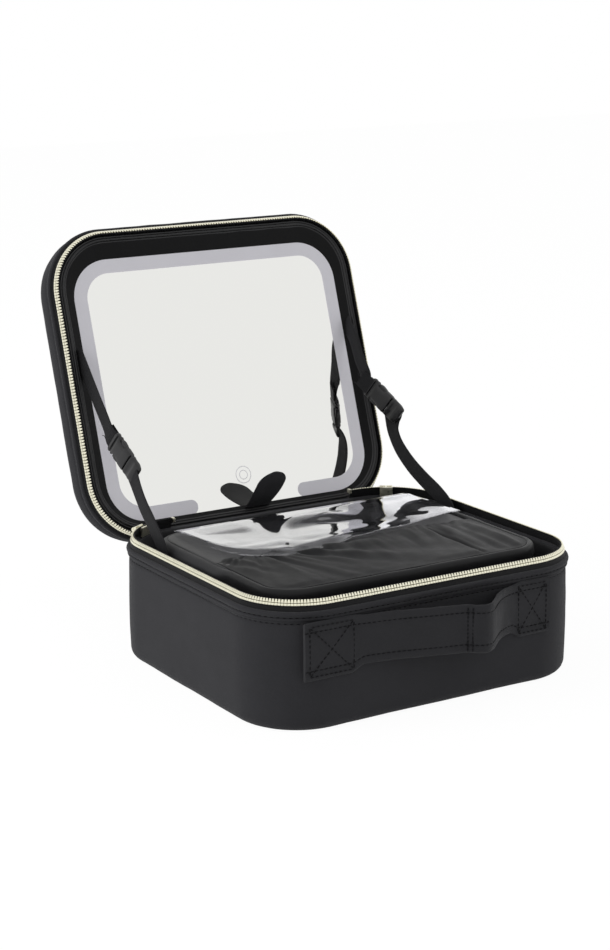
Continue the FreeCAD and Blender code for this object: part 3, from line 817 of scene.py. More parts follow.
def shell_section(sizes, depth, inside):
    """Section of one half of the case from its inner wall over the rim to the rounded outer edge."""
    rim = sizes.rim_drop
    wall = sizes.wall
    round_off = sizes.edge_round
    section = [(-wall, inside), (-wall, rim + 3 * MM), (-0.88 * wall, rim + 0.6 * MM), (-0.6 * wall, rim),
               (-0.24 * wall, rim), (-0.07 * wall, rim + 0.5 * MM)]
    section += mm((0.0, 8.6), (0.0, 11.0), (0.0, 13.2), (-0.1, 14.6), (-0.3, 15.2), (-0.6, 15.6),
                  (-0.3, 16.0), (0.0, 16.7), (0.15, 18.5))
    start = 18.5 * MM
    far = depth - round_off
    rows = max(1, round((far - start) / (4 * MM)))
    for row in range(1, rows + 1):
        share = row / rows
        section.append((0.15 * MM + 0.7 * MM * math.sin(math.pi * share), mix(start, far, share)))
    for step in range(1, 7):
        angle = step * TAU / 24
        section.append((round_off * (math.cos(angle) - 1), far + round_off * math.sin(angle)))
    return section


class TRAINCASE_OT_shells(bpy.types.Operator):
    """Stiffened fabric shells of both halves, with their welts and seams"""

    bl_idname = "train_case.shells"
    bl_label = "Shells"

    def execute(self, context):
        sizes = context.scene.case_sizes
        for body, half in HALVES.items():
            depth = sizes.split_height if half == BASE else sizes.lid_height
            self.shell(sizes, half, body, depth)
            self.welt(sizes, half, body)
            self.seams(sizes, half, body)
        return {"FINISHED"}

    def shell(self, sizes, half, body, depth):
        """Wall, rim and outer face of one half."""
        bm = bmesh.new()
        section = shell_section(sizes, depth, depth - sizes.wall - MM)
        verts = sweep(bm, half_frames(sizes, half), section)
        outer = [vert for vert in verts if abs(vert.co.z - sizes.split_height) > 13.5 * MM]
        ruffle(bm, outer, 0.7 * MM, 55 * MM, 3.0 + half)
        ruffle(bm, outer, 0.12 * MM, 11 * MM, 8.0 + half)
        level = sizes.split_height + half * depth
        under, over = rims(bm, level - half * sizes.wall / 2)
        outside, inside, rise = (over, under, 0.9 * MM) if half == LID else (under, over, 0.0)
        for edge in outside:
            for vert in edge.verts:
                vert.co.z = level
        crown(bm, outside, 0.0, rise)
        bmesh.ops.contextual_create(bm, geom=inside)
        piece = new_piece(f"{body}_shell_cloth", bm, "shell", half == LID)
        settle(piece, body, "shell_fabric", f"{body}_shell")

    def welt(self, sizes, half, body):
        """Rolled band over the seam of the zip tape."""
        bm = bmesh.new()
        section = mm((0.0, 7.3), (0.9, 7.3), (1.6, 7.9), (1.9, 8.9), (1.7, 10.0), (1.1, 10.7), (0.5, 11.0),
                     (0.5, 11.4), (1.0, 11.8), (1.15, 12.6), (0.8, 13.3), (-0.5, 13.6), (-0.5, 7.4),
                     (0.0, 7.3))
        verts = sweep(bm, half_frames(sizes, half, True), section)
        ruffle(bm, verts, 0.22 * MM, 16 * MM, 5.0)
        close_ends(bm)
        piece = new_piece(f"{body}_welt_band", bm, "shell", half == LID)
        settle(piece, body, "shell_fabric", f"{body}_welt")

    def seams(self, sizes, half, body):
        """Two rows of stitches, one each side of the welt's far edge."""
        bm = bmesh.new()
        frames = half_frames(sizes, half, True)
        stitch_row(bm, frames, 0.6 * MM, 11.2 * MM, sizes.stitch_pitch)
        stitch_row(bm, frames, -0.35 * MM, 15.6 * MM, sizes.stitch_pitch)
        piece = new_piece(f"{body}_seam_stitches", bm, "thread", half == LID)
        settle(piece, body, "shell_fabric")


class TRAINCASE_OT_zip(bpy.types.Operator):
    """Zip tapes and pale gold teeth of both halves, with the stops, sliders and pulls"""

    bl_idname = "train_case.zip"
    bl_label = "Zip"

    # Foot and head of a tooth: width, thickness, taper, and both ends as distances in from the wall and
    # away from the split line, millimetres.
    TOOTH = ((2.05, 1.1, 0.95, (1.3, 3.6), (1.95, 2.15)), (2.0, 1.3, 0.6, (2.1, 1.85), (2.9, -0.25)))

    def execute(self, context):
        sizes = context.scene.case_sizes
        for body, half in HALVES.items():
            bm = bmesh.new()
            frames = half_frames(sizes, half, True)
            last = len(frames) - 1
            sweep(bm, frames, lambda share: self.tape_section(frames[round(share * last)], half))
            close_ends(bm)
            tape = new_piece(f"{body}_zip_cloth", bm, "tape", half == LID)
            settle(tape, body, "zip_tape", f"{body}_zip_tape")
            self.teeth(sizes, half, body)
        coat("gold", "zip_end_stops", "zip_slider_left", "zip_slider_right", "zip_pull_left",
             "zip_pull_right")
        return {"FINISHED"}

    def tape_section(self, at, half):
        """Section of the tape, which stands a little past the teeth at the rear left of the lower case."""
        point, outward, _ = at
        past = 0.7 * smooth((outward.y - 0.1) / 0.3) if half == BASE and point.x < 0 else 0.0
        return mm((-0.4, 7.6), (-1.4, 5.0), (-2.4, 2.8), (-3.6, -past), (-4.1, -past), (-3.0, 2.8),
                  (-2.0, 5.0), (-1.1, 7.6), (-0.4, 7.6))

    def teeth(self, sizes, half, body):
        """Teeth that lean inward over the tape, half a pitch apart on the two halves."""
        bm = bmesh.new()
        path = case_path(sizes)
        run = path.length - 2 * sizes.zip_gap
        count = round(run / sizes.tooth_pitch)
        shift = 0.25 if half == BASE else 0.75
        squarely = Matrix.Rotation(TAU / 8, 4, "Z")
        for index in range(count):
            point, outward = path.at(sizes.zip_gap + run * (index + shift) / count)
            point = point + UP * sizes.split_height
            along = outward.cross(UP)
            for wide, thick, taper, root, tip in self.TOOTH:
                ends = [point - outward * (near * MM) + UP * (half * far * MM) for near, far in (root, tip)]
                lean = ends[1] - ends[0]
                size = Matrix((along * wide * MM, lean.normalized().cross(along) * thick * MM, lean))
                middle = Matrix.Translation(sum(ends, Vector()) / 2) @ size.transposed().to_4x4()
                bmesh.ops.create_cone(bm, cap_ends=True, segments=4, radius1=0.5 ** 0.5,
                                      radius2=taper * 0.5 ** 0.5, depth=1.0, matrix=middle @ squarely)
        soften(bm, 0.16 * MM, 1)
        teeth = new_piece(f"{body}_zip_teeth", bm, "gold", half == LID, 30)
        settle(teeth, body, "zip_metal", f"{body}_zip_chain")


class TRAINCASE_OT_lining(bpy.types.Operator):
    """Satin lining of the lower case and the padded dividers"""

    bl_idname = "train_case.lining"
    bl_label = "Lining and dividers"

    def execute(self, context):
        sizes = context.scene.case_sizes
        self.lining(sizes)
        for node in ("divider_long_left", "divider_long_right", "divider_short_front",
                     "divider_short_rear"):
            self.divider(node)
        coat("board", "base_board")
        return {"FINISHED"}

    def lining(self, sizes):
        """Walls and floor of thin cloth inside the lower shell."""
        bm = bmesh.new()
        low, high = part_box("base_lining")
        floor = sizes.split_height - low.z - 1.0 * MM
        inset = SHELL_HIGH.x - high.x
        section = [(-inset - 12 * MM, floor + 0.9 * MM), (-inset - 1.5 * MM, floor + 0.9 * MM),
                   (-inset, floor - MM), (-inset, 40 * MM), (-inset, 9 * MM), (-inset - 0.4 * MM, 7.4 * MM),
                   (-inset - 0.9 * MM, 9 * MM), (-inset - 1.0 * MM, 24 * MM), (-inset - 1.0 * MM, 40 * MM),
                   (-inset - 1.0 * MM, 60 * MM), (-inset - 1.1 * MM, floor - 3 * MM),
                   (-inset - 2.5 * MM, floor - 0.4 * MM), (-inset - 12 * MM, floor)]
        sweep(bm, half_frames(sizes, BASE), section)
        for loop in rims(bm, low.z + 0.5 * MM):
            crown(bm, loop)
        piece = new_piece("base_lining_cloth", bm, "lining")
        settle(piece, "base", "lining_fabric", "base_lining")
        depth = high.z - low.z
        round_wall = case_path(sizes).length * depth

    def divider(self, node):
        """Padded board bound along its edges."""
        low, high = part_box(node)
        bm = bmesh.new()
        soft_block(bm, low, high, 1.9 * MM)
        thin = 0 if high.x - low.x < high.y - low.y else 1
        middle = (low + high) / 2
        for vert in bm.verts:
            edge = min(vert.co.z - low.z, high.z - vert.co.z)
            crest = smooth(edge / (9 * MM))
            shift = vert.co[thin] - middle[thin]
            vert.co[thin] = middle[thin] + shift * mix(0.72, 0.98, crest)
        piece = new_piece(f"{node}_pad", bm, "felt")
        settle(piece, "base", "divider_fabric", node)


def soft_block(bm, low, high, round_off):
    """Block with rounded edges, cut up finely enough to be shaped."""
    size = high - low
    place = Matrix.Translation((low + high) / 2) @ Matrix.Diagonal((*size, 1.0))
    bmesh.ops.create_cube(bm, size=1.0, matrix=place)
    soften(bm, round_off, 3)
    for axis in range(3):
        count = max(1, round(size[axis] / (9 * MM)))
        for index in range(1, count):
            cut = low.copy()
            cut[axis] = mix(low[axis] + round_off, high[axis] - round_off, index / count)
            normal = Vector((0.0, 0.0, 0.0))
            normal[axis] = 1.0
            bmesh.ops.bisect_plane(bm, geom=bm.verts[:] + bm.edges[:] + bm.faces[:], plane_co=cut,
                                   plane_no=normal)
    layer = bm.loops.layers.uv.verify()
    for face in bm.faces:
        flat = max(range(3), key=lambda axis: abs(face.normal[axis]))
        first, second = [axis for axis in range(3) if axis != flat]
        for loop in face.loops:
            loop[layer].uv = (loop.vert.co[first], loop.vert.co[second])


class TRAINCASE_OT_mirror(bpy.types.Operator):
    """Lit mirror of the lid with its rolled piping, dark surround and hidden electrics"""

    bl_idname = "train_case.mirror"
    bl_label = "Mirror and light"

    def execute(self, context):
        sizes = context.scene.case_sizes
        self.piping(sizes)
        self.surround(sizes)
        coat("mirror", "mirror_glass")
        coat("board", "mirror_tray")
        coat("diffuser", "light_diffuser")
        coat("circuit", "led_strip", "touch_pad", "control_board")
        coat("lamp", "led_chips")
        coat("foil", "battery_pack")
        coat("lead", "wire_leads")
        coat("plastic", "charging_socket")
        return {"FINISHED"}

    def piping(self, sizes):
        """Glossy rolled edge with two grooves, inside the zip of the lid."""
        bm = bmesh.new()
        section = mm((-4.6, 6.0), (-4.7, 3.2), (-5.3, 1.9), (-6.1, 1.5), (-6.7, 2.2), (-7.1, 1.5),
                     (-7.9, 1.2), (-8.7, 1.6), (-9.0, 2.4), (-9.5, 2.0), (-10.3, 2.5), (-10.7, 3.6),
                     (-10.6, 5.2), (-9.8, 6.0), (-4.6, 6.0))
        verts = sweep(bm, half_frames(sizes, LID, spacing=3 * MM), section)
        ruffle(bm, verts, 0.25 * MM, 14 * MM, 2.0)
        piece = new_piece("lid_piping_roll", bm, "piping", True, 80)
        settle(piece, "lid", "piping_vinyl", "lid_piping")

    def surround(self, sizes):
        """Cloth-covered ring between the piping and the mirror."""
        bm = bmesh.new()
        half, middle = mirror_half()
        inset = 8.5 * MM
        outer = RoundedPath(SHELL_HIGH.x - inset, SHELL_HIGH.y - inset, sizes.corner_radius - inset)
        inner = RoundedPath(half.x - 0.4 * MM, half.y - 0.4 * MM, sizes.mirror_radius - 0.4 * MM, middle)
        face = sizes.split_height + 4.6 * MM
        rows = ((0.0, 1.0), (0.0, -2.4), (0.2, -2.1), (0.45, -1.4), (0.7, -0.6), (0.93, 0.0), (1.0, 0.35),
                (0.97, 1.6), (0.5, 2.4), (0.0, 2.4), (0.0, 1.0))

        def place(u, v):
            share, back = rows[round(v * (len(rows) - 1))]
            edge = outer.at(u * outer.length)[0]
            rim = inner.at(u * inner.length)[0]
            return mix(edge, rim, share) + UP * (face + back * MM)

        wrap_grid(bm, 240, len(rows) - 1, place, (outer.length, 18 * MM))
        piece = new_piece("mirror_surround_cloth", bm, "surround", True)
        settle(piece, "lid", "lining_fabric", "mirror_surround")


def webbing_section(width, thick):
    """Flat section of webbing with soft edges, closed."""
    steps = 8
    section = []
    for side in (1, -1):
        for step in range(steps + 1):
            across = (step / steps - 0.5) * width * side
            soft = 0.5 if step in (0, steps) else 1.0
            section.append((across, side * soft * thick / 2))
    return section + section[:1]


def way_at(line, index):
    """Direction of a line of points at one of them."""
    return (line[min(index + 1, len(line) - 1)] - line[max(index - 1, 0)]).normalized()


def strap_frames(points, edge, turns):
    """Frames along a strap, flat against the side wall where it isn't turned to the buckle's edge.

    The turns are (share of the way, share of the turn)."""
    line = spline(mm(*points), 10)
    made = []
    for index, point in enumerate(line):
        along = way_at(line, index)
        flat = mix(along.cross(ACROSS).normalized(), edge, through(turns, index / (len(line) - 1)))
        flat = (flat - along * flat.dot(along)).normalized()
        made.append((point, flat, flat.cross(along)))
    return made


def buckle_frame(side):
    """Top of a buckle, its way down, the edge it turns up and the way through it."""
    top, end = (Vector(point) for point in BUCKLE_ENDS[side])
    way = (end - top).normalized()
    edge = Vector(BUCKLE_EDGE[side])
    edge = (edge - way * edge.dot(way)).normalized()
    return top, way, edge, edge.cross(way)


class TRAINCASE_OT_straps(bpy.types.Operator):
    """Webbing straps that stop the lid, above and below their buckles"""

    bl_idname = "train_case.straps"
    bl_label = "Straps"

    def execute(self, context):
        sizes = context.scene.case_sizes
        section = webbing_section(sizes.webbing_width, sizes.webbing_thick)
        for side in ("left", "right"):
            self.upper(sizes, side, section)
            self.lower(side, section)
        return {"FINISHED"}

    def upper(self, sizes, side, section):
        """From the surround of the mirror to the buckle, with the sewn end folded back on itself."""
        top, way, edge, through_it = buckle_frame(side)
        bm = bmesh.new()
        points = (*UPPER_WAY[side], top - way * 4, top + way * 3.5)
        sweep(bm, strap_frames(points, edge, ((0.0, 0.0), (0.55, 0.0), (0.85, 1.0), (1.0, 1.0))), section)
        lift = through_it * math.copysign(1.15 * sizes.webbing_thick / MM, -top.x)
        lap = [top + way * along + lift for along in (-9.0, -4.0, 2.5)]
        sweep(bm, strap_frames(lap, edge, ((0.0, 1.0), (1.0, 1.0))), section)
        for strand in range(5):
            self.loose_end(bm, lap[0] + edge * (strand * 3.0 - 6.0), way, edge, through_it, strand)
        close_ends(bm)
        piece = new_piece(f"strap_upper_{side}_webbing", bm, "webbing")
        settle(piece, "lid", "webbing", f"strap_upper_{side}")

    def loose_end(self, bm, root, way, edge, through_it, strand):
        """Thread that has frayed out of the cut end of the webbing."""
        sway = edge * noise.noise(Vector((strand * 1.7, 0.4, 2.2))) * 6.0
        reach = way * (-2.5 - 5.0 * abs(noise.noise(Vector((strand * 2.9, 5.1, 0.3)))))
        points = (root + way * 2.0, root + reach * 0.5 + sway * 0.3, root + reach + sway)
        fine = 0.32 * MM
        section = [(fine * math.cos(TAU * step / 5), fine * math.sin(TAU * step / 5)) for step in range(6)]
        line = spline(mm(*points), 3)
        sweep(bm, [(point, edge, through_it) for point in line], section)

    def lower(self, side, section):
        """From the buckle down to the foot on the side wall."""
        points = LOWER_WAY[side]
        edge = buckle_frame(side)[2]
        bm = bmesh.new()
        sweep(bm, strap_frames(points, edge, ((0.0, 1.0), (0.3, 0.0), (1.0, 0.0))), section)
        close_ends(bm)
        piece = new_piece(f"strap_lower_{side}_webbing", bm, "webbing")
        settle(piece, None, "webbing", f"strap_lower_{side}")
        foot, top = mm(points[-2], points[1])
        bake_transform(piece)


class TRAINCASE_OT_buckles(bpy.types.Operator):
    """Side-release buckles: socket with side windows, and plug with its ridge"""

    bl_idname = "train_case.buckles"
    bl_label = "Buckles"

    # Rings down each moulding: distance from the top of the buckle, half width and half thickness.
    SOCKET = ((0.0, 6.6, 1.2), (0.5, 7.6, 1.8), (1.6, 8.1, 2.2), (3.0, 8.2, 2.4), (3.6, 8.2, 1.3),
              (5.0, 8.2, 1.3), (5.6, 8.2, 2.6), (6.6, 7.8, 2.9), (7.4, 6.6, 3.0), (8.6, 6.2, 3.0),
              (13.8, 6.3, 3.0), (15.2, 6.6, 3.0), (16.0, 7.5, 3.0), (17.0, 7.8, 3.0), (22.4, 7.8, 3.0),
              (23.1, 7.6, 2.8), (23.3, 7.2, 2.5))
    PLUG = ((24.3, 6.9, 2.0), (24.6, 7.5, 2.5), (25.4, 7.7, 2.7), (26.4, 7.8, 2.3),
            (27.2, 7.8, 1.8), (29.8, 7.8, 1.8), (30.8, 7.7, 2.3), (32.0, 7.6, 2.6), (33.4, 7.4, 2.3),
            (35.6, 7.0, 1.7), (36.6, 6.6, 1.2), (37.0, 6.0, 0.9))
    PRONG = ((7.6, 0.7, 0.8), (8.3, 1.3, 1.4), (10.8, 1.7, 1.7), (13.8, 1.4, 1.7), (16.2, 1.0, 1.5),
             (25.4, 0.9, 1.3))
    TONGUE = ((19.0, 1.4, 1.2), (25.4, 1.4, 1.2))
    PRONG_SHIFT = 6.8

    def execute(self, context):
        for side in ("left", "right"):
            bm = bmesh.new()
            self.loft(bm, side, self.SOCKET, 0.0)
            socket = new_piece(f"buckle_socket_{side}_body", bm, "plastic", crease=40)
            settle(socket, "lid", "buckle_plastic", f"buckle_socket_{side}")
            bm = bmesh.new()
            self.loft(bm, side, self.PLUG, 0.0)
            self.loft(bm, side, self.TONGUE, 0.0)
            for lean in (-1, 1):
                self.loft(bm, side, self.PRONG, lean * self.PRONG_SHIFT)
            plug = new_piece(f"buckle_plug_{side}_body", bm, "plastic", crease=40)
            settle(plug, "lid", "buckle_plastic", f"buckle_plug_{side}")
        return {"FINISHED"}

    def loft(self, bm, side, rings, shift):
        """Moulded body of (distance, half width, half thickness) rings down the buckle, closed."""
        steps = 32
        top, way, edge, through_it = buckle_frame(side)
        frames = [((top + way * along + edge * shift) * MM, edge, through_it) for along, _, _ in rings]

        def section(share):
            _, wide, thick = rings[round(share * (len(rings) - 1))]
            return [(wide * MM * squared(math.cos(TAU * step / steps)),
                     thick * MM * squared(math.sin(TAU * step / steps))) for step in range(steps + 1)]

        sweep(bm, frames, section)
        close_ends(bm)


def squared(value):
    """Circle coordinate drawn out towards a rounded square."""
    return math.copysign(abs(value) ** 0.45, value)


def panel_path(inset):
    """Outline of the brush panel, drawn in by an amount."""
    half_x = PANEL_HIGH.x - inset
    half_y = (PANEL_HIGH.y - PANEL_LOW.y) / 2 - inset
    return RoundedPath(half_x, half_y, PANEL_CORNER - inset, (PANEL_HIGH.y + PANEL_LOW.y) / 2)


class TRAINCASE_OT_panel(bpy.types.Operator):
    """Brush panel: padded board and thick rolled edge"""

    bl_idname = "train_case.panel"
    bl_label = "Brush panel"

    def execute(self, context):
        self.edge()
        self.board()
        return {"FINISHED"}

    def edge(self):
        """Thick rolled edge, sewn along its inner side."""
        bm = bmesh.new()
        section = mm((-5.2, 0.2), (-2.4, 0.0), (-0.8, 0.7), (-0.1, 2.4), (0.1, 5.0), (-0.1, 7.4),
                     (-0.8, 9.3), (-2.0, 10.4), (-3.4, 10.6), (-4.6, 10.1), (-5.3, 9.2), (-5.6, 7.6),
                     (-5.2, 0.2))
        frames = panel_path(0.0).frames(PANEL_LOW.z, UP)
        verts = sweep(bm, frames, section)
        ruffle(bm, verts, 0.5 * MM, 24 * MM, 4.0)
        for vert in verts:
            left = smooth((-80 * MM - vert.co.x) / (12 * MM)) * smooth((vert.co.y + 26 * MM) / (12 * MM))
            share = (vert.co.z - PANEL_LOW.z) / (PANEL_HIGH.z - PANEL_LOW.z)
            vert.co.x -= left * 3.4 * MM * (1 - share ** 2)
            vert.co.z -= left * 1.2 * MM * share
        # Its finish darkens the front and right of the edge as painted shade.
        piece = new_piece("panel_piping_roll", bm, "panel_edge", crease=80)
        settle(piece, "brush_panel", "piping_vinyl", "panel_piping")
        bm = bmesh.new()
        sewn = [(point, second, first) for point, first, second in frames if point.y < -22 * MM]
        stitch_row(bm, sewn, 9.9 * MM, -5.0 * MM, 3.6 * MM)
        seam = new_piece("panel_seam_stitches", bm, "thread")
        settle(seam, "brush_panel", "lining_fabric")

    def board(self):
        """Padded board under the pocket and the cover."""
        low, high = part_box("panel_board")
        bm = bmesh.new()
        top = PANEL_HIGH.z - 1.2 * MM - low.z
        section = [(-12 * MM, 0.0), (-0.6 * MM, 0.0), (0.0, 0.6 * MM), (0.0, top - 1.2 * MM),
                   (-0.6 * MM, top - 0.3 * MM), (-2 * MM, top), (-12 * MM, top + 0.1 * MM)]
        sweep(bm, panel_path(5.3 * MM).frames(low.z, UP), section)
        for loop in rims(bm, low.z + MM):
            crown(bm, loop, (low.y + high.y) / 2)
        pocket_edge = -3 * MM
        for vert in bm.verts:
            x, y, z = vert.co
            if z > low.z + 0.5 * top:
                hollow = smooth((pocket_edge - y) / (10 * MM)) * smooth((x + 92 * MM) / (6 * MM))
                cushion = smooth((-82 * MM - x) / (8 * MM)) * smooth((y + 26 * MM) / (10 * MM))
                vert.co.z = z + (1.1 * cushion - 3.2 * hollow) * MM
                vert.co.x = x - cushion * 1.6 * MM
        piece = new_piece("panel_board_pad", bm, "lining")
        settle(piece, "brush_panel", "lining_fabric", "panel_board")


class TRAINCASE_OT_pocket(bpy.types.Operator):
    """Gathered brush pocket of thin nylon"""

    bl_idname = "train_case.pocket"
    bl_label = "Brush pocket"

    CLOTH = 0.6 * MM
    SEAM_X = 62 * MM  # seam between the wide sleeve and the narrow one at its right
    FAN_X, FAN_Y = -74 * MM, 6 * MM  # where the folds at the left run together

    def execute(self, context):
        bm = bmesh.new()
        inset = 5.0 * MM
        half = PANEL_HIGH.x - inset
        front = PANEL_LOW.y + inset
        rear = 0.0
        corner = PANEL_CORNER - inset
        level = PANEL_HIGH.z - 0.4 * MM

        def place(u, v):
            y = mix(front, rear, v)
            into = max(0.0, corner - (y - front))
            wide = half - (corner - math.sqrt(corner ** 2 - into ** 2))
            x = mix(-wide, wide, u)
            return Vector((x, y, level + self.height(x, y, u, v)))

        wrap_grid(bm, 150, 64, place, (2 * half, rear - front))
        piece = thicken(new_piece("brush_pocket_cloth", bm, "pocket"), self.CLOTH)
        settle(piece, "brush_panel", "lining_fabric", "brush_pocket")
        return {"FINISHED"}

    def height(self, x, y, u, v):
        """Swell and pleats of the cloth above the edge of the panel."""
        hem = smooth(min(u, 1 - u) / 0.06) * smooth(v / 0.1)
        swell = 1.5 * hem * math.sin(math.pi * min(1.0, 0.15 + 0.6 * v))
        spread = x / (0.7 + 0.3 * v)
        pleat = noise.noise(Vector((spread / (11 * MM), 1.5 * v, 3.1))) * 2.2 * v ** 1.2
        gather = noise.noise(Vector((spread / (5.0 * MM), 2.5 * v, 7.7))) * 1.3 * v ** 3
        fan_x = x - self.FAN_X
        fan_y = y - self.FAN_Y
        reach = math.hypot(fan_x, fan_y)
        fan = noise.noise(Vector((math.atan2(fan_y, fan_x) * 7.0, reach / (90 * MM), 1.7)))
        fan *= 3.4 * math.exp(-reach / (130 * MM)) * smooth(reach / (14 * MM))
        beyond = x - self.SEAM_X
        seam = math.exp(-(beyond / (1.4 * MM)) ** 2) * smooth((0.9 - v) / 0.06)
        strip = noise.noise(Vector((x / (7 * MM), 0.9 * v, 5.5))) * 1.9 * smooth(beyond / (8 * MM))
        tuck = smooth((v - 0.965) / 0.035) * 1.6
        tuck += smooth((y - through(COVER_FRONT, x / MM) * MM + 3 * MM) / (8 * MM)) * 1.2
        return (swell + hem * (pleat + gather + fan + strip) - 1.8 * seam * hem - tuck) * MM


class TRAINCASE_OT_cover(bpy.types.Operator):
    """Clear vinyl cover over the rear of the brush panel"""

    bl_idname = "train_case.cover"
    bl_label = "Clear cover"

    SHEET = 0.5 * MM

    def execute(self, context):
        bm = bmesh.new()
        left = COVER_FRONT[0][0] * MM
        wide = COVER_HIGH.x - left
        columns = 96

        def place(u, v):
            x = mix(left, COVER_HIGH.x, u)
            y = mix(COVER_HIGH.y, through(COVER_FRONT, x / MM) * MM, v)
            return Vector((x, y, COVER_LOW.z + self.wave(x, y, v) * MM))

        wrap_grid(bm, columns, 56, place, (wide, COVER_DEPTH))
        piece = thicken(new_piece("clear_cover_sheet", bm, "clear"), self.SHEET)
        settle(piece, "cover", "clear_vinyl", "clear_cover")
        depths = [COVER_HIGH.y - place((column + 0.5) / columns, 1.0).y for column in range(columns)]
        wide * sum(depths) / columns
        return {"FINISHED"}

    def wave(self, x, y, v):
        """Slack of the sheet: a slope down each side of its taut middle, waves and a drooping border."""
        loose = smooth((x + 10 * MM) / (50 * MM))
        slow = noise.noise(Vector((x / (60 * MM), y / (50 * MM), 9.2)))
        quick = noise.noise(Vector((x / (22 * MM), y / (34 * MM), 4.4)))
        curl = smooth((v - 0.6) / 0.3) * noise.noise(Vector((x / (26 * MM), y / (9 * MM), 1.3)))
        waves = mix(0.15, 1.3, loose) * slow + loose * quick + 0.4 * curl
        beside = x - 0.614 * y + 54 * MM
        spread = held((x + 85 * MM) / (33 * MM))
        past = 53 * MM - 0.25 * (x + 85 * MM)
        left = smooth((y - past) / (mix(2.0, 15.0, spread) * MM) + 0.5) * 1.5 * spread
        right = smooth((y - 34 * MM) / (21 * MM)) * 4.0 - smooth((y - 56 * MM) / (6 * MM)) * 2.6 - 1.8
        step = left * smooth((-19 * MM - beside) / (14 * MM))
        step += right * smooth(beside / (12 * MM)) * (1 - smooth((x - 12 * MM) / (30 * MM)))
        rise = held((v - 0.1) / 0.7) * 2.2 * (1 - loose)
        droop = smooth((v - 0.89) / 0.1) * 2.5 * (1 - smooth((x + 20 * MM) / (45 * MM)))
        return 0.9 + smooth(v / 0.12) * (1.3 + step) + smooth(v / 0.3) * waves + rise - droop


class TRAINCASE_OT_tab(bpy.types.Operator):
    """Tongue-shaped pull tab at the hinge-side edge of the mirror"""

    bl_idname = "train_case.tab"
    bl_label = "Pull tab"

    LENGTH = 43 * MM
    CLOTH = 1.4 * MM

    def execute(self, context):
        joint = JOINTS["tab_fold"]
        root = LID_SWING.inverted() @ Vector(joint["pos_m"])
        stand = Matrix.Rotation(math.radians(-joint["range_deg"][0]), 3, "X")
        low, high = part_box("pull_tab")
        half = (high.x - low.x) / 2
        straight = 1 - half / self.LENGTH
        steps = 30

        def share_at(step):
            return 1 - (1 - step / steps) ** 1.6

        frames = []
        for step in range(steps + 1):
            along = share_at(step)
            curl = -1.6 * MM * math.sin(math.pi * along)
            point = root + stand @ Vector((0.0, -self.LENGTH * along, curl))
            frames.append((point, ACROSS, stand @ UP))

        def section(share):
            along = share_at(round(share * steps))
            past = max(0.0, (along - straight) / (1 - straight))
            waist = mix(0.86, 1.0, smooth(along / 0.6))
            wide = max(0.04, waist * math.sqrt(max(0.0, 1 - past ** 2))) * half
            return webbing_section(2 * wide, self.CLOTH)

        bm = bmesh.new()
        sweep(bm, frames, section)
        close_ends(bm)
        piece = new_piece("pull_tab_tongue", bm, "tab", True)
        # The side that faces the mirror takes the lighter finish: painted light from the mirror.
        piece.data.materials.append(finish("tab_back"))
        front = LID_TURN.to_3x3() @ stand @ -UP
        for face in piece.data.polygons:
            face.material_index = 1 if face.normal.dot(front) > 0.5 else 0
        settle(piece, "tab", "webbing", "pull_tab")
        return {"FINISHED"}


class TRAINCASE_OT_hinges(bpy.types.Operator):
    """Fabric hinges of the lid and of the brush panel"""

    bl_idname = "train_case.hinges"
    bl_label = "Fabric hinges"

    LID_CLOTH = 0.9 * MM
    PANEL_CLOTH = 0.7 * MM

    def execute(self, context):
        self.lid_strip(context.scene.case_sizes)
        self.panel_strip()
        return {"FINISHED"}

    def lid_strip(self, sizes):
        """Cloth strip across the rear wall, sewn to both halves."""
        low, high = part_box("lid_hinge_strip")
        face = LID_HINGE.y + 0.4 * MM
        ends = [LID_SWING @ Vector((0.0, face, sizes.split_height + up * MM)) for up in (10.5, 16.5)]
        middle = Vector((0.0, face, LID_HINGE.z))
        points = [Vector((0.0, face, low.z + 2 * MM)), Vector((0.0, face, LID_HINGE.z - 3 * MM)), middle]
        points += [mix(middle, ends[0], 0.3) + UP * 0.6 * MM, *ends]
        line = spline(points, 6)
        half = high.x

        def place(u, v):
            point = line[round(v * (len(line) - 1))]
            return point + ACROSS * mix(-half, half, u)

        bm = bmesh.new()
        wrap_grid(bm, 40, len(line) - 1, place, (2 * half, 42 * MM))
        piece = thicken(new_piece("lid_hinge_cloth", bm, "shell"), self.LID_CLOTH)
        settle(piece, None, "shell_fabric", "lid_hinge_strip")
        long = sum((after - before).length for before, after in zip(line, line[1:]))
        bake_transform(piece)

    def panel_strip(self):
        """Cloth strip from the front lining to the brush panel."""
        low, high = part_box("panel_hinge_strip")
        middle = (low.z + high.z) / 2
        bm = bmesh.new()

        def place(u, v):
            sag = MM * math.sin(math.pi * v)
            crease = noise.noise(Vector((u * 14, v * 1.5, 6.0))) * 0.5 * sag
            return Vector((mix(low.x, high.x, u), mix(low.y, high.y, v), middle - 1.2 * sag + crease))

        wrap_grid(bm, 60, 10, place, (high.x - low.x, high.y - low.y))
        piece = thicken(new_piece("panel_hinge_cloth", bm, "lining"), self.PANEL_CLOTH)
        settle(piece, None, "lining_fabric", "panel_hinge_strip")
        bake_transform(piece)


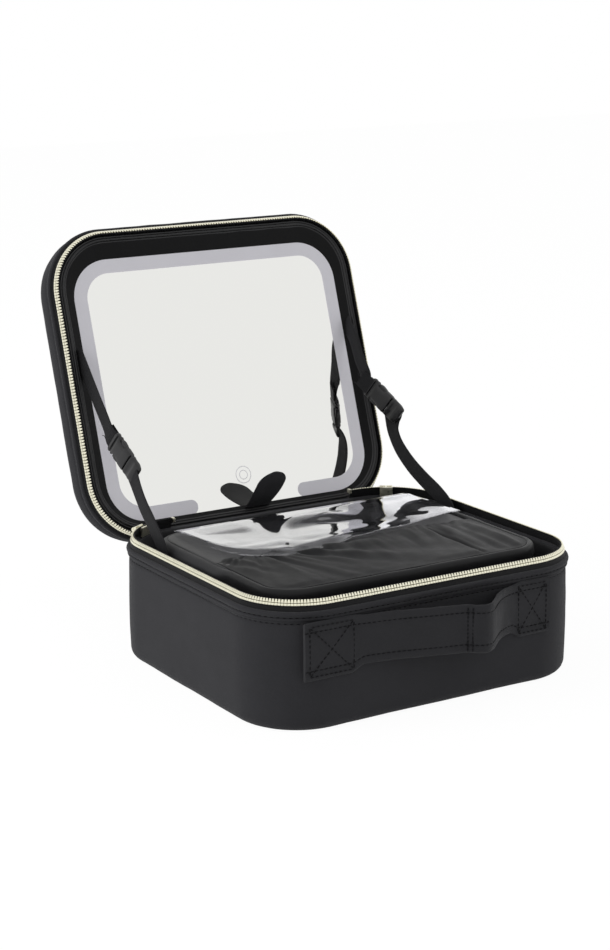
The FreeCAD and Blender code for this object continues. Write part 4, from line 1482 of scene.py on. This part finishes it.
class TRAINCASE_OT_handle(bpy.types.Operator):
    """Flat carry handle, sewn to the front wall at both ends"""

    bl_idname = "train_case.handle"
    bl_label = "Carry handle"

    # Way of the middle of the band in plan: millimetres along the wall and out from it.
    WAY = ((-107.0, 1.6), (-88.0, 1.6), (-70.0, 1.7), (-62.0, 2.2), (-42.0, 5.6), (-25.0, 10.4),
           (-8.0, 15.4), (7.0, 19.6), (12.5, 24.6), (17.0, 27.0), (21.0, 26.9), (25.5, 24.4), (33.0, 17.6),
           (42.0, 9.8), (51.0, 4.6), (60.0, 2.0), (70.0, 1.6), (90.0, 1.6))
    # Front of the band: share of its height and thickness there, with a seam groove near either edge.
    FRONT = ((0.0, 0.0), (0.015, 0.9), (0.06, 1.25), (0.13, 1.2), (0.17, 0.75), (0.21, 1.15), (0.27, 1.45),
             (0.4, 1.6), (0.5, 1.62), (0.6, 1.6), (0.73, 1.45), (0.79, 1.15), (0.83, 0.75), (0.87, 1.2),
             (0.94, 1.25), (0.985, 0.9), (1.0, 0.0))
    GROOVES = (0.17, 0.83)
    # Sewn boxes along the wall and their height, and the bar tacks of the grip, millimetres.
    BOXES = ((-103.5, -70.0), (63.0, 86.5))
    BOX_HEIGHTS = (39.5, 73.0)
    TACKS = (8.0, 11.0)
    PITCH = 3.6 * MM
    TACK_PITCH = 2.8 * MM

    def execute(self, context):
        line = spline([(x * MM, SHELL_LOW.y - out * MM, 0.0) for x, out in self.WAY], 8)
        frames = [(point, way_at(line, index).cross(UP), UP) for index, point in enumerate(line)]
        bm = bmesh.new()
        verts = sweep(bm, frames, lambda share: self.section(line, share))
        ruffle(bm, verts, 0.3 * MM, 13 * MM, 6.0)
        ruffle(bm, verts, 0.2 * MM, 4.5 * MM, 9.0)
        close_ends(bm)
        piece = new_piece("carry_handle_band", bm, "handle")
        settle(piece, "base", "shell_fabric", "carry_handle")
        self.seams(frames)
        return {"FINISHED"}

    def reach(self, x):
        """Low and high edge of the band at a place along the wall."""
        patch = max(smooth((-60 * MM - x) / (12 * MM)), smooth((x - 56 * MM) / (10 * MM)))
        return mix(41.0, 36.5, patch) * MM, mix(74.6, 76.0, patch) * MM

    def section(self, line, share):
        """Band section at a share of its way: front face upwards, then back face down again."""
        low, high = self.reach(line[round(share * (len(line) - 1))].x)
        front = [(thick * MM, mix(low, high, up)) for up, thick in self.FRONT]
        back = [(-1.2 * MM * smooth(min(up, 1 - up) / 0.03), mix(low, high, up))
                for up in (0.97, 0.75, 0.5, 0.25, 0.03)]
        return front + back + front[:1]

    def seams(self, frames):
        """Rows along both edges, a crossed box on either patch and the bar tack of the grip."""
        bm = bmesh.new()
        for level in self.GROOVES:
            seam = []
            for point, outward, _ in frames:
                low, high = self.reach(point.x)
                seam.append((point + UP * mix(low, high, level), outward, UP))
            stitch_row(bm, seam, 0.9 * MM, 0.0, self.PITCH, BOLD_STITCH)
        face = SHELL_LOW.y - 3.25 * MM
        low, high = self.BOX_HEIGHTS
        for left, right in self.BOXES:
            outline = mm((left, low), (right, low), (right, high), (left, high))
            corners = [Vector((x, face, z)) for x, z in outline]
            for first, second in ((0, 1), (1, 2), (2, 3), (3, 0), (0, 2), (1, 3)):
                stitch_line(bm, corners[first], corners[second], -REARWARD, self.PITCH)
        for x in self.TACKS:
            point, facing, _ = min(frames, key=lambda at: abs(at[0].x - x * MM))
            low, high = self.reach(point.x)
            tack = point + facing * 1.5 * MM
            stitch_line(bm, tack + UP * (low + MM), tack + UP * (high - MM), facing, self.TACK_PITCH)
        piece = new_piece("carry_handle_stitches", bm, "thread")
        settle(piece, "base", "shell_fabric")


class TRAINCASE_OT_stage(bpy.types.Operator):
    """Pale floor, soft studio light and the camera"""

    bl_idname = "train_case.stage"
    bl_label = "Stage"

    WHITE = (1.0, 1.0, 1.0, 1.0)
    MIDDLE = Vector((0.0, 0.05, 0.12))  # what the lamps face

    def execute(self, context):
        scene = context.scene
        scene.view_settings.view_transform = "Standard"
        self.floor(scene)
        self.world(scene)
        self.lamp(scene, "key", (-2.0, 0.3, 1.15), 1.5, 18.5)
        self.lamp(scene, "fill", (1.5, -1.2, 1.4), 1.6, 3.0)
        self.camera(scene)
        return {"FINISHED"}

    def seen(self, shade):
        """1 for the camera and for mirror-like or see-through rays, else 0."""
        path = shade.node("ShaderNodeLightPath")
        return path.most(path.part("Is Glossy Ray")).most(path.part("Is Transmission Ray"))

    def floor(self, scene):
        """Plain floor that shows white and keeps a faint shadow."""
        bm = bmesh.new()
        bmesh.ops.create_grid(bm, x_segments=1, y_segments=1, size=4.0)
        mesh = bpy.data.meshes.new("floor")
        bm.to_mesh(mesh)
        bm.free()
        shade, place = new_shade("floor", "Object")
        paper = shade.grain(place, 60 * MM)
        tone = shade.mix(paper, (0.80, 0.80, 0.80, 1.0), (0.82, 0.82, 0.82, 1.0))
        matte = shade.node("ShaderNodeBsdfDiffuse", None, {"Color": tone})
        white = shade.node("ShaderNodeEmission", None, {"Color": self.WHITE, "Strength": 1.08})
        parts = {0: self.seen(shade) * 0.88, 1: matte, 2: white}
        mesh.materials.append(shade.finish(shade.node("ShaderNodeMixShader", None, parts)))
        floor = bpy.data.objects.new("floor", mesh)
        scene.collection.objects.link(floor)

    def world(self, scene):
        """White to the eye and in reflections, softer as light."""
        shade = Shade(bpy.data.worlds.new("studio"))
        levels = {"Value": self.seen(shade), "To Min": 0.42, "To Max": 1.0}
        strength = shade.node("ShaderNodeMapRange", None, levels)
        back = shade.node("ShaderNodeBackground", None, {"Color": self.WHITE, "Strength": strength})
        scene.world = shade.finish(back, "ShaderNodeOutputWorld")

    def lamp(self, scene, name, place, size, power):
        """Large soft area lamp that faces the case."""
        light = bpy.data.lights.new(name, "AREA")
        light.size = size
        light.energy = power
        lamp = bpy.data.objects.new(name, light)
        lamp.location = place
        aim = self.MIDDLE - Vector(place)
        lamp.rotation_euler = aim.to_track_quat("-Z", "Y").to_euler()
        lamp.visible_glossy = False
        scene.collection.objects.link(lamp)

    def camera(self, scene):
        """Camera at the angle of the view settings."""
        view = scene.case_view
        lens = bpy.data.cameras.new("camera")
        lens.lens = view.lens
        lens.sensor_width = 36.0
        flat = math.cos(view.elevation)
        back = Vector((math.sin(view.azimuth) * flat, -math.cos(view.azimuth) * flat,
                       math.sin(view.elevation)))
        camera = bpy.data.objects.new("camera", lens)
        facing = (-back).to_track_quat("-Z", "Y").to_matrix().to_4x4()
        roll = Matrix.Rotation(view.roll, 4, "Z")
        camera.matrix_world = Matrix.Translation(Vector(view.target) + back * view.reach) @ facing @ roll
        scene.collection.objects.link(camera)
        scene.camera = camera


class TRAINCASE_PT_panel(bpy.types.Panel):
    """Sidebar list of the pieces and their settings"""

    bl_idname = "TRAINCASE_PT_panel"
    bl_label = "Train case"
    bl_space_type = "VIEW_3D"
    bl_region_type = "UI"
    bl_category = "Train case"

    def draw(self, context):
        for group in (context.scene.case_sizes, context.scene.case_colours, context.scene.case_view):
            for name in group.bl_rna.properties.keys():
                if name not in ("rna_type", "name"):
                    self.layout.prop(group, name)
        for operator in OPERATORS:
            self.layout.operator(operator.bl_idname)


GROUPS = {"case_sizes": CaseSizes, "case_colours": CaseColours, "case_view": CaseView}
OPERATORS = (TRAINCASE_OT_stage, TRAINCASE_OT_shells, TRAINCASE_OT_zip, TRAINCASE_OT_lining,
             TRAINCASE_OT_mirror, TRAINCASE_OT_straps, TRAINCASE_OT_buckles, TRAINCASE_OT_panel,
             TRAINCASE_OT_pocket, TRAINCASE_OT_cover, TRAINCASE_OT_tab, TRAINCASE_OT_hinges,
             TRAINCASE_OT_handle)
CLASSES = (*GROUPS.values(), *OPERATORS, TRAINCASE_PT_panel)


def register():
    """Register the classes and hang the settings on the scene."""
    for made in CLASSES:
        bpy.utils.register_class(made)
    for name, group in GROUPS.items():
        setattr(bpy.types.Scene, name, bpy.props.PointerProperty(type=group))


def unregister():
    """Take the settings and classes away again."""
    for name in GROUPS:
        delattr(bpy.types.Scene, name)
    for made in reversed(CLASSES):
        bpy.utils.unregister_class(made)


def main():
    """Build every piece in order."""
    register()
    for operator in OPERATORS:
        _, action = operator.bl_idname.split(".")
        getattr(bpy.ops.train_case, action)()


if __name__ == "__main__":
    main()
